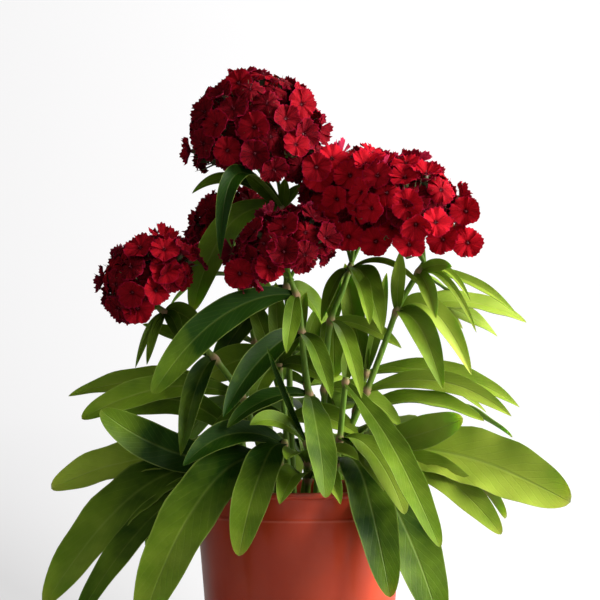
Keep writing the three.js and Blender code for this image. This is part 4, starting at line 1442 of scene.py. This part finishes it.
def plain_tube(name, route, radii, sides):
    """A tube without a joint."""
    tube, _ = bend_tube(name, [tuple(place) for place in route], radii, sides)
    store(tube, "joint", 0.0)
    return tube


def find_forks(head):
    """Where the stalks divide, in the lower part of the head's core."""
    inner_radius, inner_height = (size - HEAD_SHELL for size in head["size"])
    turn = lean_of(head)
    for i in range(STALKS):
        angle = 2 * math.pi * (i / STALKS + head["seed"])
        reach = 0.5 * inner_radius
        fork = Vector((reach * math.cos(angle), reach * math.sin(angle), -0.4 * inner_height))
        yield Vector(head["centre"]) + turn @ fork


def make_pedicel(forks, foot, centre):
    """A floret's own thin stalk, from the nearest fork to the foot of its calyx."""
    fork = min(forks, key=lambda place: (place - foot).length)
    middle = fork.lerp(foot, 0.5) + (foot - centre) * 0.08
    route = [fork, fork.lerp(middle, 0.5), middle, middle.lerp(foot, 0.6), foot]
    return plain_tube("pedicel", route, PEDICEL_RADII, 6)


# %% One flower head
SMALLEST_FLORET = 0.88
FLORET_GROWTH = 0.14


def make_head(head, others, top):
    """The petals, the calyxes and the stalks of a head on a stem's top, each as a list."""
    forks = list(find_forks(head))
    petals, cups, stalks = [], [], []
    for fork in forks:
        route = [top.lerp(fork, share) for share in (-0.15, 0.1, 0.4, 0.7, 1.0)]
        stalks.append(plain_tube("stalk", route, STALK_RADII, 8))
    for spot, normal, key, tone, kinds in all_florets(head, others):
        face = Vector((0, 0, 1)).rotation_difference(normal)
        face = face @ Quaternion((0, 0, 1), 2 * math.pi * draw(key + 4))
        size = SMALLEST_FLORET + FLORET_GROWTH * draw(key + 5)
        matrix = Matrix.LocRotScale(spot * MM, face, Vector((size, size, size)))
        kind = kinds[int(len(kinds) * draw(key + 6))]
        petals.append(copy_of(florets[kind], "floret", matrix))
        store(petals[-1], "tone", min(max(tone, 0), 1))
        cups.append(copy_of(calyxes[int(CALYX_KINDS * draw(key + 8))], "calyx", matrix))
        store(cups[-1], "tone", draw(key + 9))
        stalks.append(make_pedicel(forks, spot - normal * CALYX_FOOT, Vector(head["centre"])))
    return petals, cups, stalks


# %% Stems and leaves as pieces
LEAF_CREASE = 55


def finish_stem(name, node, tubes):
    """One piece of a stem and its stalks."""
    made = join(name, tubes)
    made.data.materials.clear()
    made.data.materials.append(stem_skin)
    finish_piece(made, "foliage", node)


def finish_leaves(name, node, leaves):
    """One piece of a stem's leaves, in place of the same node."""
    made = join(name, leaves)
    smooth(made, LEAF_CREASE)
    finish_piece(made, "foliage", node)


# %% Build the flowering stems
leaf_key = 0
for plant in flowering:
    name, head = plant["name"], plant["head"]
    others = [other["head"] for other in flowering if other is not plant]
    tubes = [make_stem(plant)]
    petals, cups, stalks = make_head(head, others, Vector(plant["route"][-1]))
    leaves, leaf_key = make_leaves(plant, leaf_key)
    finish_stem(f"stem_{name}_fine", f"stem_{name}", tubes + stalks)
    finish_leaves(f"leaves_{name}", f"stem_{name}", leaves)
    finish_piece(join(f"florets_{name}", petals), "petals", f"head_{name}")
    finish_piece(join(f"calyxes_{name}", cups), "foliage", f"head_{name}")
    print(name, "has", len(petals), "florets")


# %% Build the leafy shoots
for plant in leafy:
    name = plant["name"]
    leaves, leaf_key = make_leaves(plant, leaf_key)
    finish_stem(f"shoot_{name}_fine", f"shoot_{name}", [make_stem(plant)])
    finish_leaves(f"leaves_low_{name}", f"shoot_{name}", leaves)


# %% [markdown]
# ## Finish
#
# The blanks go.

# %% Finish
for blank in [blade, petal_blank, *florets, *calyxes, *blanks.values()]:
    put_away(blank)
